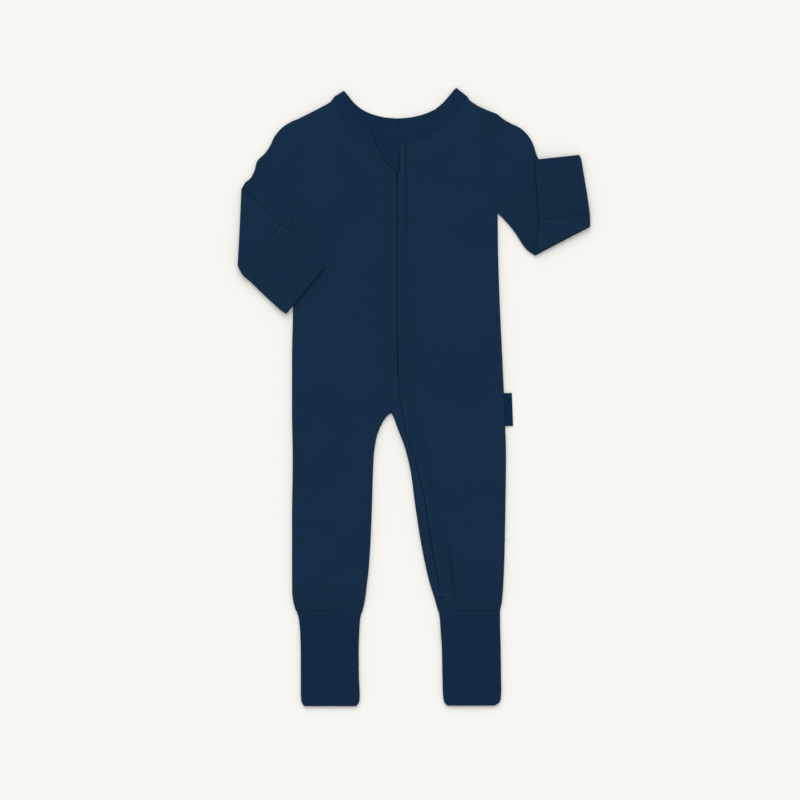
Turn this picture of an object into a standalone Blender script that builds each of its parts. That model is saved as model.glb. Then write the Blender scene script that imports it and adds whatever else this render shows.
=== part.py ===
"""Baby's one-piece zip sleepsuit, laid flat on its back with its sleeves folded.

Every cut piece is a wall of its own.  The two backs lie on the table, the two
fronts lie on them, and the zip lies between with a folded lip over each half.
The sleeves are flattened tubes that turn over once, the cuffs are flattened
tubes of doubled rib, and the neckband turns over at both shoulder tips.

Sizes are in millimetres: x to the wearer's left, y towards the neck, z up from
the table, with the origin under the middle of the whole garment.
"""

from collections import namedtuple

import bpy
import numpy as np

MM = 0.001

# Cloth
JERSEY = 1.1            # thickness of one layer of jersey
RIB = 1.5               # cuff rib, folded double
BAND = 1.4              # neckband rib, folded double
LIP = 1.3               # folded lip beside the zip
LAYER_GAP = 0.35        # air between layers that lie on each other
SEAM_GAP = 0.3          # clearance between two pieces that are sewn together
ARMHOLE_GAP = 0.45      # wider, because the sleeve ring only follows the armhole in steps
BAND_GAP = 0.5          # the same under the neckband
EDGE_ROUND = 3.0        # how far in from a turned edge the cloth curves over
EDGE_DROP = 0.7         # and how much it comes down there
HEM_ROUND = 0.4         # height that a cuff's open end loses on each face

# Levels
BACK_TOP = JERSEY
FRONT_UNDER = BACK_TOP + LAYER_GAP
FRONT_TOP = FRONT_UNDER + JERSEY
TUBE_HALF = FRONT_TOP / 2
SLIT_HALF = LAYER_GAP / 2

# Zip
TAPE = 0.5
TAPE_INNER = 1.0        # from the zip line to the tape's toothed edge
TAPE_OUTER = 7.4
TAPE_OPEN_INNER = 4.2   # above the slider, where the guard holds the halves apart
TAPE_OPEN_OUTER = 8.0
TAPE_MARGIN = 3.5       # least distance from the tape to the inseam
LIP_WIDTH = 8.5
LIP_LIFT = 1.7          # room under a lip's free edge for the teeth
SEAM_LIFT = 0.9         # height of the zip ridge where a lip is stitched down
LIP_FLAT = 4.0          # width of a lip that stays at its full lift
RIDGE_REACH = 24.0      # how far the ridge runs out into the fronts
SLIDER_LIFT = 1.2       # extra room under the lips for the slider and its pull
SLIDER_ROOM = (184.0, 222.0)
SLIDER_EASE = 12.0
SLIDER_Y = (206.5, 218.0)
SLIDER_HALF = 3.4
SLIDER_HEIGHT = 2.55
SLIDER_PLATE = 0.85
SLIDER_POST = 1.2
PULL_LENGTH = 16.0
PULL_HALF = 2.0
PULL_THICK = 0.8
GUARD = 0.9
LIP_BEND = 2.2          # how far in from a lip's folded edge it curves over
LIP_DROP = 0.6          # and how much it comes down there
LIP_STITCH = 0.8        # width of the strip beside the stitched seam
CROTCH_FADE = 20.0      # how far above the crotch the right front's ridge fades out
SLIDER_REACH = 12.0     # how far the slider's lift runs out into the fronts
ZIP_END_Y = -201.0

# Heights that the rows of a panel share
ARMPIT_Y = 184.0
CROTCH_Y = -16.0
ANKLE_Y = -214.0

Station = namedtuple("Station", "y x")
BandRow = namedtuple("BandRow", "neck_x neck_y seam_x seam_y")
TubeRow = namedtuple("TubeRow", "outer_x outer_y under_x under_y")
GuardRow = namedtuple("GuardRow", "right_x right_y left_x left_y")

# Armhole, side seam and outer leg, wearer's right
SIDE_RIGHT = (
    Station(278, -116), Station(262, -116), Station(247, -116), Station(217, -118),
    Station(197, -120), Station(184, -120.5), Station(137, -120.5), Station(87, -121),
    Station(37, -122), Station(-13, -122), Station(-63, -121.3), Station(-123, -122),
    Station(-165, -122), Station(-195, -121.8), Station(-205, -120.5), Station(-214, -118),
)
# The same edge, wearer's left
SIDE_LEFT = (
    Station(283, 83), Station(271, 78), Station(261, 75.5), Station(238, 75),
    Station(207, 78.5), Station(184, 83.5), Station(147, 84), Station(99, 85.5),
    Station(45, 88), Station(13, 89.5), Station(-19, 90.7), Station(-59, 92),
    Station(-103, 91.5), Station(-155, 90.5), Station(-187, 89.3), Station(-203, 88),
    Station(-214, 86),
)
INSEAM_RIGHT = (
    Station(-16, -23), Station(-19, -27), Station(-27, -32.3), Station(-35, -35.8),
    Station(-43, -38), Station(-59, -40.2), Station(-83, -41.3), Station(-107, -42),
    Station(-139, -43.2), Station(-171, -45.2), Station(-187, -47), Station(-203, -49),
    Station(-214, -51.5),
)
INSEAM_LEFT = (
    Station(-16, -23), Station(-19, -21), Station(-27, -18), Station(-35, -15),
    Station(-51, -9), Station(-75, -3.3), Station(-107, 1), Station(-139, 5.8),
    Station(-171, 12), Station(-187, 16), Station(-203, 21), Station(-214, 24),
)
CENTRE_BACK = (Station(260, -16.5), Station(120, -17.5), Station(CROTCH_Y, -23))

# Free edge of the right front: the turned-back flap, then the zip down to the ankle
ZIP_EDGE_RIGHT = (
    Station(249, -37), Station(245, -35), Station(236, -30), Station(230, -24.5),
    Station(222, -17.6), Station(214, -16.8), Station(62, -17.2), Station(7, -15.2),
    Station(-21, -11), Station(-43, -6), Station(-62, 0.4), Station(-98, 9.4),
    Station(-139, 15.8), Station(-189, 25), Station(-214, 31),
)
ZIP_EDGE_LEFT = (
    Station(255, -14), Station(228, -14), Station(223, -15.8), Station(214, -16.2),
    Station(62, -16.6), Station(7, -14.6), Station(-21, -10.4), Station(-43, -5.4),
    Station(-62, 1), Station(-98, 10), Station(-139, 16.4), Station(-189, 25.6),
    Station(-214, 31.6),
)
# Where each lip is stitched down on its front
LIP_SEAM_RIGHT = (
    Station(252, -45.5), Station(240, -42), Station(230, -36), Station(220, -28.5),
    Station(210, -25.4), Station(62, -25.7), Station(7, -23.8), Station(-8, -23.2),
    Station(CROTCH_Y, -23),
)
LIP_SEAM_LEFT = (
    Station(255, -8), Station(214, -8), Station(62, -8.2), Station(7, -6.2),
    Station(-21, -2), Station(-43, 3), Station(-62, 9.3), Station(-98, 18.4),
    Station(-139, 24.9), Station(-189, 34), Station(-214, 40),
)
# Shoulder line, from the armhole up to the neckband
SHOULDER_RIGHT = (
    (-116, 278), (-105, 283.5), (-98, 287), (-91, 290.7), (-85.5, 293.6), (-82.4, 296), (-80, 298.6),
)
SHOULDER_LEFT = ((83, 283), (72, 287.3), (64, 291), (58, 294.8), (55, 297), (53.3, 298.6))

# Neckband, from its front end up to the shoulder tip; the last row is the fold there
BAND_FRONT_RIGHT = (
    BandRow(-43, 268, -37, 249.3), BandRow(-46, 273, -47, 253.7), BandRow(-49, 278, -56, 257.6),
    BandRow(-54, 283.5, -62, 265), BandRow(-59, 289, -67, 272.5), BandRow(-64.5, 297, -73, 281.5),
    BandRow(-70, 306.3, -79.6, 300.3),
)
BAND_BACK_RIGHT = (
    BandRow(-70, 306.3, -79.6, 300.3), BandRow(-66, 301.6, -75.7, 290.3), BandRow(-61, 295.3, -73, 283.5),
    BandRow(-57, 291.3, -68, 277.5), BandRow(-51, 287, -60.5, 271.7), BandRow(-43, 283.2, -50, 266.5),
    BandRow(-30, 279.7, -34, 262), BandRow(-16.5, 278.5, -16.5, 260.3),
)
BAND_FRONT_LEFT = (
    BandRow(-14, 277.8, -14, 255.8), BandRow(-8, 278.2, -8, 254.6), BandRow(0, 279.2, 0, 254.2),
    BandRow(11, 282, 10, 257.3), BandRow(20, 286, 20, 264), BandRow(26, 290.3, 28, 269.7),
    BandRow(31, 295.3, 36, 277.8), BandRow(36, 301.5, 43.5, 287), BandRow(42, 309.3, 53.4, 300.4),
)
BAND_BACK_LEFT = (
    BandRow(42, 309.3, 53.4, 300.4), BandRow(35.5, 301.7, 45.5, 290.6), BandRow(30.5, 295.8, 40.6, 284.6),
    BandRow(26, 291.6, 34.8, 278.4), BandRow(20.5, 287.4, 27.5, 272), BandRow(11, 283.2, 18, 266.5),
    BandRow(-3, 279.7, 1, 262), BandRow(-16.5, 278.5, -16.5, 260.3),
)

# Guard behind the open top: its edges under the right lip and under the left lip
GUARD_ROWS = (
    GuardRow(-19.5, 271.6, -15.6, 270.5), GuardRow(-31, 269.9, -14.4, 268),
    GuardRow(-40.2, 268.2, -14.4, 256), GuardRow(-36.3, 249.8, -14.4, 253.6),
    GuardRow(-38, 247.5, -12.8, 252.5), GuardRow(-33, 236, -12.8, 240),
    GuardRow(-27.5, 230, -12.8, 232), GuardRow(-20.6, 222, -13.5, 222),
    GuardRow(-20.2, 219, -13.5, 219),
)
GUARD_COLUMNS = 4

# Sleeves: armhole to fold, fold to cuff seam, then the cuff to its open end
UPPER_ARM_RIGHT = (
    TubeRow(-116, 278, -120.5, 184), TubeRow(-123, 275, -121, 172), TubeRow(-131, 270, -121.6, 161),
    TubeRow(-139, 261, -129, 154), TubeRow(-143.7, 251.5, -138.5, 149.5), TubeRow(-149, 243.6, -147, 145.5),
    TubeRow(-156.6, 236, -154, 142.5), TubeRow(-159.4, 226.5, -160, 139.5), TubeRow(-163.3, 219, -165, 137),
    TubeRow(-169, 214, -170.5, 134),
    TubeRow(-172.5, 207, -176.1, 131),
)
FOREARM_RIGHT = (
    TubeRow(-172.5, 207, -176.1, 131), TubeRow(-152, 190, -173.4, 129.9), TubeRow(-132, 172, -173.6, 128.7),
)
CUFF_RIGHT = (
    TubeRow(-132, 172, -173.6, 128.7), TubeRow(-120.5, 161, -161.5, 116), TubeRow(-109, 150.5, -148, 102.5),
    TubeRow(-97.5, 139.5, -136, 90.5), TubeRow(-91, 133, -130.5, 85), TubeRow(-89, 130.5, -127.5, 83),
)
UPPER_ARM_LEFT = (
    TubeRow(83, 283, 83.5, 184), TubeRow(90, 277.4, 89, 178.5), TubeRow(97.5, 273.2, 94, 173),
    TubeRow(106, 269, 99, 167), TubeRow(114, 261.5, 102.5, 162), TubeRow(119, 253, 105, 158),
    TubeRow(124, 239, 107.5, 154), TubeRow(149, 205, 113, 147), TubeRow(176, 170, 121, 141.3),
)
FOREARM_LEFT = (
    TubeRow(176, 170, 121, 141.3), TubeRow(176, 176.5, 123.5, 159), TubeRow(175.8, 182.6, 125.3, 176),
)
CUFF_LEFT = (
    TubeRow(175.8, 182.6, 125.3, 176), TubeRow(173.7, 198, 124.3, 192), TubeRow(171.5, 212, 122.6, 207),
    TubeRow(169, 226.5, 121.6, 222), TubeRow(167, 238, 121.6, 234), TubeRow(165.3, 242, 122.5, 237.3),
)
SLEEVE_CUFF_SAG = 1.8   # how far a cuff sinks where nothing lies under it
SAG_START = 1.0
SAG_REACH = 24.0

# Leg cuffs: the outer leg's edge and the inner leg's edge, from the seam to the foot end
LEG_CUFF_RIGHT = (
    TubeRow(-117.3, -214, -51.8, -214), TubeRow(-115.5, -220, -53.6, -220),
    TubeRow(-114.2, -230, -54.4, -230), TubeRow(-113.3, -250, -55.2, -250),
    TubeRow(-113.2, -280, -55, -280), TubeRow(-113, -300, -54.3, -300),
    TubeRow(-112, -306, -55.3, -306), TubeRow(-109.5, -309, -58, -309),
)
LEG_CUFF_LEFT = (
    TubeRow(86, -214, 24.6, -214), TubeRow(86, -222, 25.8, -222), TubeRow(86.2, -234, 26.6, -234),
    TubeRow(86.6, -250, 27.7, -250), TubeRow(87, -280, 28.4, -280), TubeRow(87, -298, 29, -298),
    TubeRow(85.5, -305, 30.2, -305), TubeRow(80.5, -308.5, 33.5, -308.5),
)

# Side label, a blank folded tab
LABEL_Y = (-29.0, 4.0)
LABEL_REACH = 8.0
LABEL = 0.7
LABEL_DROOP = 0.75

# Columns and rows of the meshes
EDGE_STEPS = (0.0, 0.8, EDGE_ROUND)
TUBE_COLUMNS = 6
LIP_STEPS = (0.0, 0.8, LIP_BEND, LIP_FLAT)
FOLD_TURNS = 6
ARMHOLE_FADE = (1.0, 0.75, 0.5, 0.28, 0.1)
NECK_COLUMN = 4         # the column of a panel that ends where shoulder meets neckband

BAND_SOFT = 0.45        # share of a band's half thickness that is left at its long edges
BAND_INSET = (0.9, 0.6)     # how far in from the neck edge and the seam edge it is full
FADE_POWER = 1.5        # how fast a panel's rows level out below the shoulder

NAVY = (0.0086, 0.0278, 0.0600)
ENAMEL = (0.03, 0.05, 0.09)


def clear_scene():
    for item in list(bpy.data.objects):
        bpy.data.objects.remove(item, do_unlink=True)


def cloth(name, colour, roughness, metallic=0.0):
    """A plain material with one colour."""
    material = bpy.data.materials.new(name)
    material.use_nodes = True
    shader = material.node_tree.nodes["Principled BSDF"]
    shader.inputs["Base Color"].default_value = (*colour, 1.0)
    shader.inputs["Roughness"].default_value = roughness
    shader.inputs["Metallic"].default_value = metallic
    return material


def add_solid(name, points, faces, material):
    """One named mesh from points in millimetres, turned so that it encloses a positive volume."""
    corners = np.array([face if len(face) == 3 else face[:3] for face in faces])
    fourth = np.array([face[:1] + face[2:] for face in faces if len(face) == 4])
    triangles = np.vstack([corners, fourth]) if len(fourth) else corners
    a, b, c = (points[triangles[:, k]] for k in range(3))
    if np.einsum("ij,ij->i", a, np.cross(b, c)).sum() < 0:
        faces = [face[::-1] for face in faces]
    mesh = bpy.data.meshes.new(name)
    mesh.from_pydata((points * MM).tolist(), [], faces)
    mesh.validate()
    mesh.shade_smooth()
    mesh.set_sharp_from_angle(angle=np.radians(40))
    mesh.materials.append(material)
    item = bpy.data.objects.new(name, mesh)
    bpy.context.collection.objects.link(item)
    return item


def grid_faces(rows, columns, around=False):
    """Four-cornered faces of a grid; around joins the last column to the first."""
    faces = []
    for r in range(rows - 1):
        for c in range(columns if around else columns - 1):
            d = (c + 1) % columns
            faces.append((r * columns + c, r * columns + d, (r + 1) * columns + d, (r + 1) * columns + c))
    return faces


def closed_wall(name, outer, inner, material, around=False):
    """A wall between two grids of points, closed along every free edge."""
    rows, columns = outer.shape[:2]
    faces = grid_faces(rows, columns, around)
    count = rows * columns
    edges = {(face[k], face[(k + 1) % 4]) for face in faces for k in range(4)}
    rim = [(b, a, a + count, b + count) for a, b in sorted(edges) if (b, a) not in edges]
    lining = [tuple(k + count for k in face[::-1]) for face in faces]
    points = np.vstack([outer.reshape(-1, 3), inner.reshape(-1, 3)])
    return add_solid(name, points, faces + lining + rim, material)


def smooth_step(value):
    """0 below 0, 1 above 1, with a soft rise between."""
    t = np.clip(value, 0.0, 1.0)
    return t * t * (3.0 - 2.0 * t)


def edge_x(stations, y):
    """x of an edge at the heights y, on a smooth curve that never overshoots its stations."""
    table = sorted(stations)
    ys = np.array([station.y for station in table], dtype=float)
    xs = np.array([station.x for station in table], dtype=float)
    steps, rises = np.diff(ys), np.diff(xs)
    secants = rises / steps
    both = secants[:-1] * secants[1:]
    mean = 2 * both / np.where(both > 0, secants[:-1] + secants[1:], 1.0)
    slopes = np.concatenate([secants[:1], np.where(both > 0, mean, 0.0), secants[-1:]])
    y = np.clip(np.asarray(y, dtype=float), ys[0], ys[-1])
    low = np.clip(np.searchsorted(ys, y, side="right") - 1, 0, len(ys) - 2)
    t = (y - ys[low]) / steps[low]
    bend = t * (1 - t) ** 2 * slopes[low] + t * t * (t - 1) * slopes[low + 1]
    return xs[low] + rises[low] * t * t * (3 - 2 * t) + steps[low] * bend


def edge_points(stations, ys):
    ys = np.asarray(ys, dtype=float)
    return np.column_stack([edge_x(stations, ys), ys])


def along(points, fractions):
    """Points at fractions of a line's whole length."""
    points = np.asarray(points, dtype=float)
    run = np.concatenate([[0.0], np.cumsum(np.linalg.norm(np.diff(points, axis=0), axis=1))])
    where = np.asarray(fractions) * run[-1]
    return np.column_stack([np.interp(where, run, points[:, k]) for k in range(2)])


def distance_to(lines, points):
    """Least distance in plan from each point to any of the lines."""
    flat = points.reshape(-1, 2)
    best = np.full(len(flat), np.inf)
    for line in lines:
        line = np.asarray(line, dtype=float)
        for start, end in zip(line[:-1], line[1:]):
            way = end - start
            t = np.clip((flat - start) @ way / (way @ way), 0.0, 1.0)
            best = np.minimum(best, np.linalg.norm(flat - start - t[:, None] * way, axis=1))
    return best.reshape(points.shape[:-1])


def round_over(distance):
    """How far the cloth has come down at a distance from its turned edge: a quarter ellipse."""
    t = 1.0 - np.clip(distance / EDGE_ROUND, 0.0, 1.0)
    return EDGE_DROP * (1.0 - np.sqrt(1.0 - t * t))


def with_height(plan, z):
    return np.concatenate([plan, np.broadcast_to(z, plan.shape[:-1])[..., None]], axis=-1)


def row_heights(top):
    """Heights of a panel's rows along one side, closer together at its top and its crotch."""
    upper = [top, top - 0.8, top - EDGE_ROUND]
    upper += list(np.linspace(top - EDGE_ROUND, ARMPIT_Y, 7)[1:])
    body = list(np.linspace(ARMPIT_Y, CROTCH_Y + 15, 7)[1:]) + [CROTCH_Y]
    leg = [CROTCH_Y - 3, CROTCH_Y - 11, CROTCH_Y - 22]
    leg += list(np.linspace(CROTCH_Y - 43, ANKLE_Y + 19, 6)) + [ANKLE_Y + 9, ANKLE_Y + SEAM_GAP / 2]
    return np.array(upper + body + leg)


def steps_across(width, at_side, at_centre, inner_columns):
    """Fractions across one row: fixed distances at the edges, equal ones between."""
    first = [step / width for step in at_side]
    last = [1 - step / width for step in reversed(at_centre)]
    middle = list(np.linspace(first[-1], last[0], inner_columns + 1)[1:-1])
    return np.array(first + middle + last)


def panel_plan(side, centre, shoulder, neck, at_centre=EDGE_STEPS):
    """Plan points of a front or back, from its side edge to its centre edge, row by row.

    Rows are straight between the two edges; near the top they rise to meet the
    shoulder and neck lines, and that rise fades out at the armpit.  Each point of
    the neck line has a column of its own.
    """
    y_side = row_heights(shoulder[0][1])
    y_centre = row_heights(neck[-1][1])
    left = edge_points(side, y_side)
    right = centre(y_centre)
    left[0], right[0] = shoulder[0], neck[-1]
    plan = []
    for row, (a, b) in enumerate(zip(left, right)):
        across = steps_across(np.linalg.norm(b - a), EDGE_STEPS, at_centre, len(neck) + 1)
        if row == 0:
            on_shoulder = along(shoulder, across[:NECK_COLUMN] / across[NECK_COLUMN])
            last = (neck[-2] - neck[-1]) / np.linalg.norm(neck[-2] - neck[-1])
            at_end = neck[-1] + np.array(at_centre)[::-1, None] * last
            top = np.vstack([on_shoulder, neck[:-1], at_end])
            rise = top - (a + across[:, None] * (b - a))
        fade = np.clip((y_side[row] - ARMPIT_Y) / (y_side[0] - ARMPIT_Y), 0.0, 1.0) ** FADE_POWER
        plan.append(a + across[:, None] * (b - a) + rise * fade)
    return np.array(plan)


def turned_edges(side, inseam, shoulder):
    """Lines along which a front and a back are sewn and the cloth curves over."""
    lines = [edge_points(side, np.linspace(ARMPIT_Y, ANKLE_Y, 60)), shoulder]
    if inseam:
        lines.append(edge_points(inseam, np.linspace(CROTCH_Y, ANKLE_Y, 60)))
    return lines


def shifted(stations, dx):
    """The same edge moved across by dx."""
    return tuple(Station(station.y, station.x + dx) for station in stations)


def below_band(rows, gap):
    """The seam line of the neckband, lowered by the gap, from the shoulder towards the centre."""
    points = []
    for row in rows:
        neck = np.array((row.neck_x, row.neck_y))
        seam = np.array((row.seam_x, row.seam_y))
        points.append(seam + (seam - neck) / np.linalg.norm(seam - neck) * gap)
    return np.array(points)


def ridge(distance):
    """Lift of a front beside the zip, fading out away from the lip's seam."""
    return SEAM_LIFT * (1.0 - smooth_step((distance - LIP_WIDTH) / RIDGE_REACH))


def slider_lift(y):
    """Extra lift of the lips where the slider and its pull lie under them."""
    low, high = SLIDER_ROOM
    return SLIDER_LIFT * smooth_step((y - low) / SLIDER_EASE + 1) * smooth_step((high - y) / SLIDER_EASE + 1)


def build_back(name, side, inseam, shoulder, band_rows, gap_side, material):
    """A back: flat on the table, with its sewn edges curving up."""
    def centre(ys):
        above = edge_x(CENTRE_BACK, ys) + gap_side * SEAM_GAP / 2
        return np.column_stack([np.where(ys >= CROTCH_Y, above, edge_x(inseam, ys)), ys])

    neck = below_band(band_rows, BAND_GAP)
    neck[-1, 0] += gap_side * SEAM_GAP / 2
    neck[0] = shoulder[-1]
    plan = panel_plan(side, centre, shoulder, neck)
    under = round_over(distance_to(turned_edges(side, inseam, shoulder), plan))
    return closed_wall(name, with_height(plan, BACK_TOP), with_height(plan, under), material)


def build_front(name, side, inseam, shoulder, band_rows, lip_seam, zip_edge, gap_side, material):
    """A front: it lies on the back and rises in a low ridge towards the zip."""
    seam = shifted(lip_seam, gap_side * SEAM_GAP / 2)

    def centre(ys):
        above = edge_x(seam, ys)
        if not inseam:
            return np.column_stack([above, ys])
        return np.column_stack([np.where(ys >= CROTCH_Y, above, edge_x(inseam, ys)), ys])

    neck = below_band(band_rows, BAND_GAP)
    meet = seam[0]
    order = np.argsort(neck[:, 0])
    end_y = np.interp(meet.x, neck[order, 0], neck[order, 1])
    outside = (neck[:, 0] - meet.x) * gap_side > EDGE_ROUND + 1
    neck = np.vstack([neck[outside], [(meet.x, end_y)]])
    neck[0] = shoulder[-1]
    plan = panel_plan(side, centre, shoulder, neck, EDGE_STEPS if inseam else (0.0, EDGE_ROUND))
    zip_line = edge_points(zip_edge, np.linspace(zip_edge[0].y, CROTCH_Y if inseam else ANKLE_Y, 80))
    to_zip = distance_to([zip_line], plan)
    lift = ridge(to_zip)
    if inseam:
        lift = lift * smooth_step((plan[..., 1] - CROTCH_Y) / CROTCH_FADE)
    lift = lift + slider_lift(plan[..., 1]) * (1 - smooth_step((to_zip - LIP_WIDTH) / SLIDER_REACH))
    fall = round_over(distance_to(turned_edges(side, inseam, shoulder), plan))
    under = FRONT_UNDER + lift
    return closed_wall(name, with_height(plan, under + JERSEY - fall), with_height(plan, under), material)


def build_lip(name, free_edge, seam, seam_side, inseam, below_neck, material):
    """A folded strip from its stitched seam to its free edge over the zip teeth."""
    ys = row_heights(free_edge[0].y - below_neck)
    free = edge_points(free_edge, ys)
    fixed = edge_points(seam, row_heights(seam[0].y - below_neck))
    on_leg = (ys < CROTCH_Y) if inseam else np.zeros(len(ys), dtype=bool)
    if inseam:
        fixed[on_leg] = edge_points(inseam, ys[on_leg])
    fixed[~on_leg, 0] += seam_side * SEAM_GAP / 2
    plan, lift = [], []
    for row, (a, b) in enumerate(zip(free, fixed)):
        width = np.linalg.norm(b - a)
        outer = (width + LIP_FLAT) / 2, width - LIP_STITCH, width
        across = np.array(LIP_STEPS + outer) / width
        plan.append(a + across[:, None] * (b - a))
        fall_off = smooth_step((across * width - LIP_FLAT) / (max(width, LIP_WIDTH) - LIP_FLAT))
        rise = LIP_LIFT + (SEAM_LIFT - LIP_LIFT) * fall_off + slider_lift(ys[row])
        lift.append(rise)
    plan, lift = np.array(plan), np.array(lift)
    bend = np.clip(1 - np.array(LIP_STEPS) / LIP_BEND, 0, 1)
    drop = np.zeros(plan.shape[:2])
    drop[:, :len(LIP_STEPS)] = LIP_DROP * (1 - np.sqrt(1 - bend ** 2))
    if inseam:
        edge = [edge_points(inseam, np.linspace(CROTCH_Y, ANKLE_Y, 60))]
        near = distance_to(edge, plan)
        leg = smooth_step((CROTCH_Y + 4 - plan[..., 1]) / 8)
        lift = lift * (1 - leg * (1 - smooth_step(near / EDGE_ROUND)))
        drop = np.maximum(drop, round_over(near))
    under = FRONT_UNDER + lift
    return closed_wall(name, with_height(plan, under + LIP - drop), with_height(plan, under), material)


def build_tape(name, free_edge, seam_side, inseam, material):
    """One half of the zip's tape, under its lip and clear of slider and guard."""
    ys = np.concatenate([
        np.linspace(246, 222, 5), [214, SLIDER_Y[0] - 2, SLIDER_Y[0] - 12],
        np.linspace(170, 10, 6), np.linspace(-5, ZIP_END_Y, 12)])
    closed = smooth_step((SLIDER_Y[0] - 2 - ys) / 10)
    inner = TAPE_OPEN_INNER + (TAPE_INNER - TAPE_OPEN_INNER) * closed
    outer = TAPE_OPEN_OUTER + (TAPE_OUTER - TAPE_OPEN_OUTER) * closed
    free = edge_points(free_edge, ys)
    if inseam:
        strip = np.where(ys < CROTCH_Y, np.abs(free[:, 0] - edge_x(inseam, ys)), np.inf)
        outer = np.minimum(outer, strip - TAPE_MARGIN)
    way = np.gradient(free, axis=0)
    way /= np.linalg.norm(way, axis=1)[:, None]
    across = np.column_stack([way[:, 1], -way[:, 0]]) * seam_side
    plan = np.stack([free + across * inner[:, None], free + across * outer[:, None]], axis=1)
    top = with_height(plan, FRONT_UNDER + TAPE)
    return closed_wall(name, top, with_height(plan, FRONT_UNDER), material)


def build_guard(material):
    """The soft guard behind the open top of the zip."""
    right = np.array([(row.right_x, row.right_y) for row in GUARD_ROWS])
    left = np.array([(row.left_x, row.left_y) for row in GUARD_ROWS])
    across = np.linspace(0, 1, GUARD_COLUMNS)
    plan = right[:, None] + across[None, :, None] * (left - right)[:, None]
    under = BAND + LAYER_GAP
    return closed_wall("zip_guard", with_height(plan, under + GUARD), with_height(plan, under), material)


def tube_section(length, half):
    """One flattened ring: positions along it and heights, outside and inside."""
    across = steps_across(length, EDGE_STEPS, EDGE_STEPS, TUBE_COLUMNS) * length
    to_edge = np.minimum(across, length - across)
    height = half - round_over(to_edge)
    wall = half - SLIT_HALF
    inner = wall + across * (length - 2 * wall) / length
    loop = np.concatenate([across, across[::-1]])
    inner_loop = np.concatenate([inner, inner[::-1]])
    outer_height = np.concatenate([height, -height[::-1]])
    inner_height = np.concatenate([np.full(len(across), SLIT_HALF), np.full(len(across), -SLIT_HALF)])
    return loop, outer_height, inner_loop, inner_height


def ring_pair(start, end, up, half):
    """Outer and inner ring about the line from start to end, flattened across the direction up."""
    length = np.linalg.norm(end - start)
    way = (end - start) / length
    loop, outer_height, inner_loop, inner_height = tube_section(length, half)
    outer = start + loop[:, None] * way + outer_height[:, None] * up
    inner = start + inner_loop[:, None] * way + inner_height[:, None] * up
    return outer, inner


def tube(name, rings, material):
    outer = np.array([ring[0] for ring in rings])
    inner = np.array([ring[1] for ring in rings])
    return closed_wall(name, outer, inner, material, around=True)


def row_ends(row, z):
    return np.array((row.outer_x, row.outer_y, z)), np.array((row.under_x, row.under_y, z))


def move_row(row, dx, dy):
    return TubeRow(row.outer_x + dx, row.outer_y + dy, row.under_x + dx, row.under_y + dy)


def seam_shift(row, following):
    """Half the seam's clearance, towards the following row."""
    way = np.array((following.outer_x + following.under_x - row.outer_x - row.under_x,
                    following.outer_y + following.under_y - row.outer_y - row.under_y))
    return way / np.linalg.norm(way) * SEAM_GAP / 2


def follow_armhole(rings, side, gap):
    """Bend the first rings so that the sleeve's end follows the armhole; the bend fades along the arm."""
    first = np.vstack(rings[0])
    wanted = edge_x(side, first[:, 1]) + gap
    bow = np.array(wanted - first[:, 0]).reshape(2, -1)
    for ring, share in zip(rings, ARMHOLE_FADE):
        for layer, points in enumerate(ring):
            points[:, 0] += bow[layer] * share


def build_sleeve(name, upper_arm, forearm, side, gap, material):
    """A flattened tube from the armhole to the fold, turned over there, and on to the cuff seam."""
    up = np.array((0.0, 0.0, 1.0))
    turn = TUBE_HALF + LAYER_GAP / 2
    fold = upper_arm[-1]
    start, end = row_ends(fold, TUBE_HALF)
    way = (end - start) / np.linalg.norm(end - start)
    outward = np.cross(way, up)
    before, _ = row_ends(upper_arm[-2], TUBE_HALF)
    if outward @ (start - before) < 0:
        outward = -outward
    start, end = (point - outward * (turn + TUBE_HALF) for point in (start, end))
    rings = [ring_pair(*row_ends(row, TUBE_HALF), up, TUBE_HALF) for row in upper_arm[:-1]]
    follow_armhole(rings, side, gap)
    for angle in np.linspace(0, np.pi, FOLD_TURNS + 1):
        swing = outward * np.sin(angle) * turn + up * (1 - np.cos(angle)) * turn
        lean = up * np.cos(angle) - outward * np.sin(angle)
        rings.append(ring_pair(start + swing, end + swing, lean, TUBE_HALF))
    top = TUBE_HALF + 2 * turn
    last = move_row(forearm[-1], *-seam_shift(forearm[-2], forearm[-1]))
    for row in forearm[1:-1] + (last,):
        rings.append(ring_pair(*row_ends(row, top), -up, TUBE_HALF))
    return tube(name, rings, material)


def beyond(outline, points):
    """Distance in plan from each point to a closed outline, and 0 inside it."""
    outline = np.asarray(outline, dtype=float)
    x, y = points[:, 0], points[:, 1]
    crossings = np.zeros(len(points), dtype=int)
    for (x0, y0), (x1, y1) in zip(outline, np.roll(outline, -1, axis=0)):
        if y0 != y1:
            at = x0 + (y - y0) / (y1 - y0) * (x1 - x0)
            crossings += ((y0 > y) != (y1 > y)) & (x < at)
    loop = np.vstack([outline, outline[:1]])
    return np.where(crossings % 2, 0.0, distance_to([loop], points[:, :2]))


def arm_outline(upper_arm):
    """The upper arm's outline in plan, which a folded cuff lies on."""
    return [(row.outer_x, row.outer_y) for row in upper_arm] + \
           [(row.under_x, row.under_y) for row in reversed(upper_arm)]


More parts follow.
